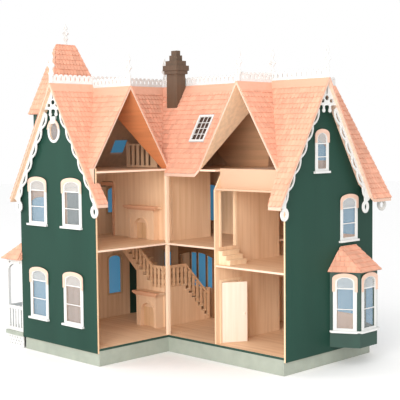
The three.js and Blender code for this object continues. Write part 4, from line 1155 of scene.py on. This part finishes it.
def stair_treads():
    """A thin tread with a nosing on each step of the two flights, and on the bedroom steps."""
    sheet = Sheet()

    def flat(u, v, w):
        return (u, v, w)

    for step in range(8):
        y = STAIR_FOOT - step * LOWER_RUN
        top = FLOOR_TOP + (step + 1) * LOWER_RISE
        sheet.bar(STAIR_LEFT + 0.5, y - LOWER_RUN + 0.5, STAIR_RIGHT + 3.5, y + 4,
                  flat, top + 0.1, top + 2.2)
    for step in range(9):
        x = STAIR_LEFT - step * UPPER_RUN
        top = LANDING + (step + 1) * UPPER_RISE
        sheet.bar(x - UPPER_RUN + 0.5, STAIR_NEAR - 3, x + 4, STAIR_FAR - 0.5,
                  flat, top + 0.1, top + 2.2)
    for step in range(3):
        x = 190.3 + (3 - step) * 14
        top = RIGHT_SECOND_FLOOR + (step + 1) * 11.75
        sheet.bar(x - 13.5, 11, x + 2, 79, flat, top + 0.1, top + 2)
    sheet.finish("stair_treads", "wood_pale", slot="bare_wood")


def casing_outline(u0, v0, u1, v1, width):
    """A casing round a doorway, with stiles that run down to the floor."""
    return [(u0 - width, v0), (u0, v0), (u0, v1), (u1, v1), (u1, v0), (u1 + width, v0),
            (u1 + width, v1 + width), (u0 - width, v1 + width)]


def door_casings():
    """Casings on both sides of the hall's two doorways, and the darker frame of the bedroom door."""
    sheet = Sheet()

    def hall_side(u, v, w):
        return (185 - w, u, v)

    def room_side(u, v, w):
        return (190 + w, u, v)

    for spot in (hall_side, room_side):
        for u0, v0, u1, v1 in ((22, FLOOR_TOP, 97.6, 216), (22, SECOND_FLOOR, 78, 464)):
            if spot is room_side and v0 < 100:
                u1 += 1
            sheet.plate([casing_outline(u0, v0, u1, v1, 7)], spot, 0.3, 2)
    sheet.finish("door_casings", "wood_pale", slot="bare_wood")
    header = Sheet()

    def partition(u, v, w):
        return (u, 40 - w, v)

    header.bar(-336, 464, -277, 475, partition, 0.5, 5)
    header.bar(-286, 312.5, -277, 463.5, partition, 0.5, 3)
    header.finish("bedroom_door_header", "mantel", slot="bare_wood")


def hall_arch():
    """A dark arched header and mullions in front of the tall hall windows; their darkness is painted shade.
    """
    sheet = Sheet()
    head = [(-236, 232), (-236, 262), (-76, 262), (-76, 232)]
    curve = [(-84 - 144 * i / 12, 236 + 14 * math.sin(math.pi * i / 12)) for i in range(13)]

    def cross(u, v, w):
        return (u, 268 - w, v)

    sheet.plate([head + curve], cross, -3, 0)
    for left, right in ((-236, -228), (-84, -76)):
        sheet.bar(left, FLOOR_TOP + 0.3, right, 234, cross, -3.4, 0.4)
    for left, right in ((-212, -207.5), (-181.5, -176.5), (-140.5, -135.5), (-109.5, -105)):
        sheet.bar(left, 131, right, 248, cross, -30.5, -27.5)
    sheet.finish("hall_arch", "shaded_brown", slot="bare_wood")


NARROW = 40


def window_linings():
    """Bare casings round the windows on the room side of the walls seen from the court."""
    sheet = Sheet()

    def facade(u, v, w):
        return (FACADE_FACE + WALL + w, u, v)

    def back(u, v, w):
        return (u, BACK_FACE - WALL - w, v)

    linings = [(facade, *row) for row in FACADE_WINDOWS] + [(back, *row) for row in BACK_WINDOWS]
    for spot, centre, width, foot, top in linings:
        half = width / 2
        outer = arched(centre, half + 6, foot - 5, top + 6, 14)
        inner = arched(centre, half, foot, top, 12)
        if width < NARROW:
            outer = arched(centre, half + 3, foot - 4, top + 5, 10)
            inner = arched(centre, half, foot, top, 8)
        sheet.plate([outer, inner], spot, 0.3, 2.4)
    sheet.finish("window_linings", "lining", slot="bare_wood")


def fireplace_trim(name, front, low, high, foot, top, arch_centre, arch_half, arch_top, overhang):
    """The carved front and the stepped, darker mantel of a fireplace."""
    def spot(u, v, w):
        return (u, front - w, v)

    def half_circle(radius):
        angles = [math.pi * i / 14 for i in range(15)]
        return [(arch_centre + radius * math.cos(angle), arch_top - arch_half + radius * math.sin(angle))
                for angle in angles]

    face = Sheet()
    arch = half_circle(arch_half + 5)
    inner = half_circle(arch_half)
    left_foot = [(arch[-1][0], foot), (inner[-1][0], foot)]
    right_foot = [(inner[0][0], foot), (arch[0][0], foot)]
    face.plate([right_foot + arch + left_foot + inner[::-1]], spot, 0.3, 2.4)
    for u0, u1 in ((low, low + 8), (high - 8, high)):
        face.bar(u0, foot, u1, top - 3, spot, 0.3, 1.8)
    face.bar(low, top - 11, high, top - 3, spot, 0.3, 2.6)
    for side, edge in ((-1, low + 9), (1, high - 9)):
        near = arch_centre + side * 5
        span = [(edge, top - 13), (near, top - 13), (arch_centre + side * 16, top - 18), (edge, top - 30)]
        if abs(edge - near) > 10:
            face.plate([span], spot, 0.3, 1.4)
    face.finish(name + "_front", "hearth", slot="bare_wood")

    # Darker panels set back in the firebox: painted shade in the recess behind the arch.
    fill = Sheet()
    depth = -9.2
    for u0, u1 in ((4 - arch_half, -0.6), (0.6, arch_half - 4)):
        fill.bar(arch_centre + u0, foot + 0.3, arch_centre + u1, arch_top - 14, spot, depth, depth + 1.5)
    fill.finish(name + "_firebox_shade_panels", "lining", slot="bare_wood")

    mantel = Sheet()
    reach = overhang + 2
    mantel.bar(low - reach, top + 0.4, high + reach, top + 6.6, spot, -1, 10.5)
    mantel.bar(low - reach + 3, top - 2.4, high + reach - 3, top + 0.3, spot, 0, 8.6)
    mantel.bar(low - 3, top - 5.6, high + 3, top - 2.5, spot, 0, 5.5)
    mantel.finish(name + "_mantel", "mantel", slot="bare_wood")


def fireplaces():
    fireplace_trim("parlor_fireplace", 38, -178, -92, 48.2, 146.8, -130, 29, 120, 8)
    fireplace_trim("bedroom_fireplace", 21, -189, -79, 312.7, 404.3, -138, 28, 374, 14)


KITCHEN_DOOR_AJAR = -29
KITCHEN_HINGE = (190.3, 23.3, 48.1)
FRONT_HINGE_Y = 222
FRONT_DOOR_FACE = -341.7


def door_panels():
    """Raised panel mouldings on the kitchen door's room side and the front door's outer side."""
    angle = math.radians(KITCHEN_DOOR_AJAR)
    along = Vector((-math.sin(angle), math.cos(angle), 0))
    across = Vector((math.cos(angle), math.sin(angle), 0))
    hinge = Vector(KITCHEN_HINGE)

    def leaf(u, v, w):
        return tuple(hinge + along * u + across * w + Vector((0, 0, v)))

    sheet = Sheet()
    for v0, v1 in ((12, 64), (78, 154)):
        for u0, u1 in ((9, 33), (40, 64)):
            sheet.plate(moulding(u0, v0, u1, v1, 3), leaf, -5.2, -4.2)
    sheet.finish("kitchen_door_panels", "door", body="kitchen_door", slot="bare_wood")

    def front(u, v, w):
        return (FRONT_DOOR_FACE - w, FRONT_HINGE_Y - u, v)

    panels = Sheet()
    for v0, v1 in ((58, 118), (134, 212)):
        for u0, u1 in ((8, 32), (40, 64)):
            panels.plate(moulding(u0, v0, u1, v1, 4), front, 0.2, 1.2)
    panels.finish("front_door_panels", "sage", body="front_door", slot="green_wall")


# ---- outside joinery ----------------------------------------------------------------------

def skylight():
    """The skylight: a white sash with glazing bars over a dark pane that is painted shade for the unlit
    attic below.
    """
    sheet = Sheet()
    up = Vector((0, 1, PITCH)).normalized()
    normal = Vector((0, -PITCH, 1)).normalized()

    def spot(u, v, w):
        foot = SKYLIGHT["y0"] + 1
        base = Vector((u, foot, right_slope(0, foot)))
        return tuple(base + up * v + normal * w)

    length = 46 * math.hypot(1, PITCH)
    sheet.bar(48, 2, 104, length - 2, spot, -2.5, -1.5)
    sheet.finish("skylight_panes", "painted_shade_pane")
    frame_bars = Sheet()
    frame_bars.plate([rectangle(47, 0, 105, length), rectangle(53, 7, 99, length - 7)], spot, 0, 4)
    for i in (1, 2):
        u = 53 + 46 * i / 3
        frame_bars.bar(u - 0.8, 6, u + 0.8, length - 6, spot, 0.2, 2)
    for i in (1, 2, 3):
        v = 7 + (length - 14) * i / 4
        frame_bars.bar(52, v - 0.8, 100, v + 0.8, spot, 0.4, 2.2)
    frame_bars.finish("skylight_sash", "white", slot="white_trim", replaces=("skylight_frame",))


def attic_window():
    """A small window that lies in the front slope of the left roof."""
    up = Vector((1, 0, PITCH)).normalized()
    normal = Vector((-PITCH, 0, 1)).normalized()

    def spot(u, v, w):
        foot = ATTIC_WINDOW["x0"]
        return tuple(Vector((foot, u, left_slope(foot, 0))) + up * v + normal * w)

    length = (ATTIC_WINDOW["x1"] - ATTIC_WINDOW["x0"]) * math.hypot(1, PITCH)
    sash = Sheet()
    sash.plate([rectangle(24, -5, 81, length + 5), rectangle(30, 3, 75, length - 3)], spot, 0.3, 5)
    sash.bar(51.5, 2, 53.5, length - 2, spot, 0.5, 3)
    sash.finish("attic_window_sash", "white", slot="white_trim")
    pane = Sheet()
    pane.bar(28.5, 0.5, 76.5, length - 0.5, spot, -3.5, -2.5)
    pane.finish("attic_window_pane", "blue")


def tower_trim():
    """White boards at the corners of the tower and a band below its eave."""
    wall = FACADE_FACE - 0.5
    near, far = TOWER_NEAR, TOWER_FAR
    cut_x = TOWER_X + TOWER_CUT
    corners = [(TOWER_X, far - TOWER_CUT), (TOWER_X, near + TOWER_CUT), (cut_x, near), (wall, near),
               (wall, far), (cut_x, far)]
    against_wall = 3
    sheet = Sheet()
    for i, start in enumerate(corners):
        end = corners[(i + 1) % len(corners)]
        if i == against_wall:
            continue
        length = math.hypot(end[0] - start[0], end[1] - start[1])
        spot = canted(end, start)
        for u0, u1 in ((-length / 2, -length / 2 + 8), (length / 2 - 8, length / 2)):
            sheet.bar(u0, 46, u1, TOWER_TOP, spot, 0.3, 1.9)
        sheet.bar(-length / 2 + 8, TOWER_TOP - 12, length / 2 - 8, TOWER_TOP, spot, 0.3, 1.6)
    sheet.finish("tower_corner_boards", "white", slot="white_trim")


def porch_joinery():
    """Fretwork sides with pointed slots, arched brackets and a skirt drilled with round holes."""
    x0, y0, y1, wall = -427, -255, -140, -343.6
    sheet = Sheet()

    def side(spot, start, end):
        width = end - start
        middle = (start + end) / 2
        half = width / 2 - 7
        top = [(middle + half * math.cos(math.pi * i / 16),
                214 + 30 * math.sin(math.pi * i / 16) ** 0.7) for i in range(17)]
        arch = [(start + 7, 120), (end - 7, 120)] + top
        slots = []
        count = int((width - 14) / 12)
        step = (width - 14) / count
        for i in range(count):
            u = start + 7 + (i + 0.5) * step
            slots.append(lancet(u, 3.4, 56, 112))
        brackets = [oval(start + 15, 248, 4, 3.2, 12), oval(end - 15, 248, 4, 3.2, 12)]
        sheet.plate([rectangle(start, 45.3, end, 257.5), arch] + slots + brackets, spot, 0, 3)

    side(lambda u, v, w: (u, y0 + w, v), x0, wall)
    side(lambda u, v, w: (x0 + w, u, v), y0, y1)
    sheet.bar(x0 - 1, 45.3, x0 + 8, 257.6, lambda u, v, w: (u, y0 + w, v), -1, 8)
    sheet.finish("porch_fretwork", "white", slot="white_trim", replaces=("porch_frame",))

    skirt = Sheet()

    def drilled(spot, start, end):
        holes = []
        for row in range(3):
            count = int((end - start - 8) / 13)
            for i in range(count):
                u = start + 9 + i * 13 + (6.5 if row == 1 else 0)
                if u < end - 4:
                    holes.append(oval(u, 7 + row * 9.5, 2.4, 2.6, 10))
        skirt.plate([rectangle(start, 0.2, end, 33.6)] + holes, spot, 0, 3)

    drilled(lambda u, v, w: (u, y0 + w, v), x0, wall - 5)
    drilled(lambda u, v, w: (x0 + w, u, v), y0 + 3.2, y1)
    skirt.finish("porch_skirt", "white", slot="white_trim", replaces=("porch_deck",))
    deck = Sheet()
    deck.bar(x0 - 4, y0 - 5, wall, y1, lambda u, v, w: (u, v, w), 34, 45)
    deck.finish("porch_floor", "sage", slot="sage_board")


def bay_trim():
    """A white sill board round the foot of the bay's windows."""
    sheet = Sheet()
    for name, half in (("bay_near", 40), ("bay_front", 39), ("bay_far", 40)):
        spot = WALL_FACES[name]
        centre = BAY_MIDDLE if name == "bay_front" else 0
        sheet.bar(centre - half, 88.5, centre + half, 93, spot, 0.3, 7)
    sheet.finish("bay_sills", "white", slot="white_trim")


# ---- floor, light and camera --------------------------------------------------------------

CAMERA = {"x": 2001, "y": -1873, "z": 613, "yaw": 44.93, "pitch": 3.754, "roll": -0.531, "lens": 87.14}


def make_camera():
    """A camera that looks into the open court from the corner, almost level."""
    yaw = math.radians(CAMERA["yaw"])
    pitch = math.radians(CAMERA["pitch"])
    roll = math.radians(CAMERA["roll"])
    right = Vector((math.cos(yaw), math.sin(yaw), 0))
    level = Vector((-math.sin(yaw), math.cos(yaw), 0))
    upright = Vector((0, 0, 1))
    forward = level * math.cos(pitch) - upright * math.sin(pitch)
    up = upright * math.cos(pitch) + level * math.sin(pitch)
    x_axis = right * math.cos(roll) + up * math.sin(roll)
    y_axis = up * math.cos(roll) - right * math.sin(roll)
    data = bpy.data.cameras.new("camera")
    data.lens = CAMERA["lens"]
    data.sensor_width = 36
    data.clip_end = 50
    camera = bpy.data.objects.new("camera", data)
    turn = Matrix((x_axis, y_axis, -forward)).transposed().to_4x4()
    camera.matrix_world = Matrix.Translation(place(CAMERA["x"], CAMERA["y"], CAMERA["z"])) @ turn
    bpy.context.scene.collection.objects.link(camera)
    bpy.context.scene.camera = camera


def area_light(name, spot, target, size, power, color=(1, 1, 1)):
    data = bpy.data.lights.new(name, "AREA")
    data.shape = "DISK"
    data.size = size
    data.energy = power
    data.color = color
    light = bpy.data.objects.new(name, data)
    light.location = place(*spot)
    light.rotation_euler = (place(*target) - light.location).to_track_quat("-Z", "Y").to_euler()
    bpy.context.scene.collection.objects.link(light)


def make_stage():
    """A pale floor, a bright even sky and two soft lights."""
    mesh = bpy.data.meshes.new("floor")
    reach = 9000
    corners = rectangle(-reach, -reach, reach, reach)
    mesh.from_pydata([place(x, y, -0.5) for x, y in corners], [], [(0, 1, 2, 3)])
    floor = bpy.data.objects.new("floor", mesh)
    bpy.context.scene.collection.objects.link(floor)
    mesh.materials.append(paint("pale_floor", (0.97, 0.97, 0.97), 0.9, 0.004))
    world = bpy.data.worlds.new("studio")
    world.use_nodes = True
    background = world.node_tree.nodes["Background"]
    background.inputs["Color"].default_value = (1, 1, 1, 1)
    background.inputs["Strength"].default_value = 1.0
    bpy.context.scene.world = world
    area_light("key_light", (1500, -2400, 1050), (0, 0, 250), 1.6, 60, (1, 0.98, 0.95))
    area_light("side_light", (-1700, -1900, 1500), (-200, 0, 300), 1.4, 16, (1, 0.98, 0.95))
    bpy.context.scene.view_settings.view_transform = "Standard"


dress_frame()
shingle_main_roofs()
shingle_small_roofs()
windows()
oval_window()
vergeboards()
crestings()
stair_rails()
stair_treads()
door_casings()
hall_arch()
window_linings()
fireplaces()
door_panels()
skylight()
attic_window()
tower_trim()
porch_joinery()
bay_trim()
make_stage()
make_camera()
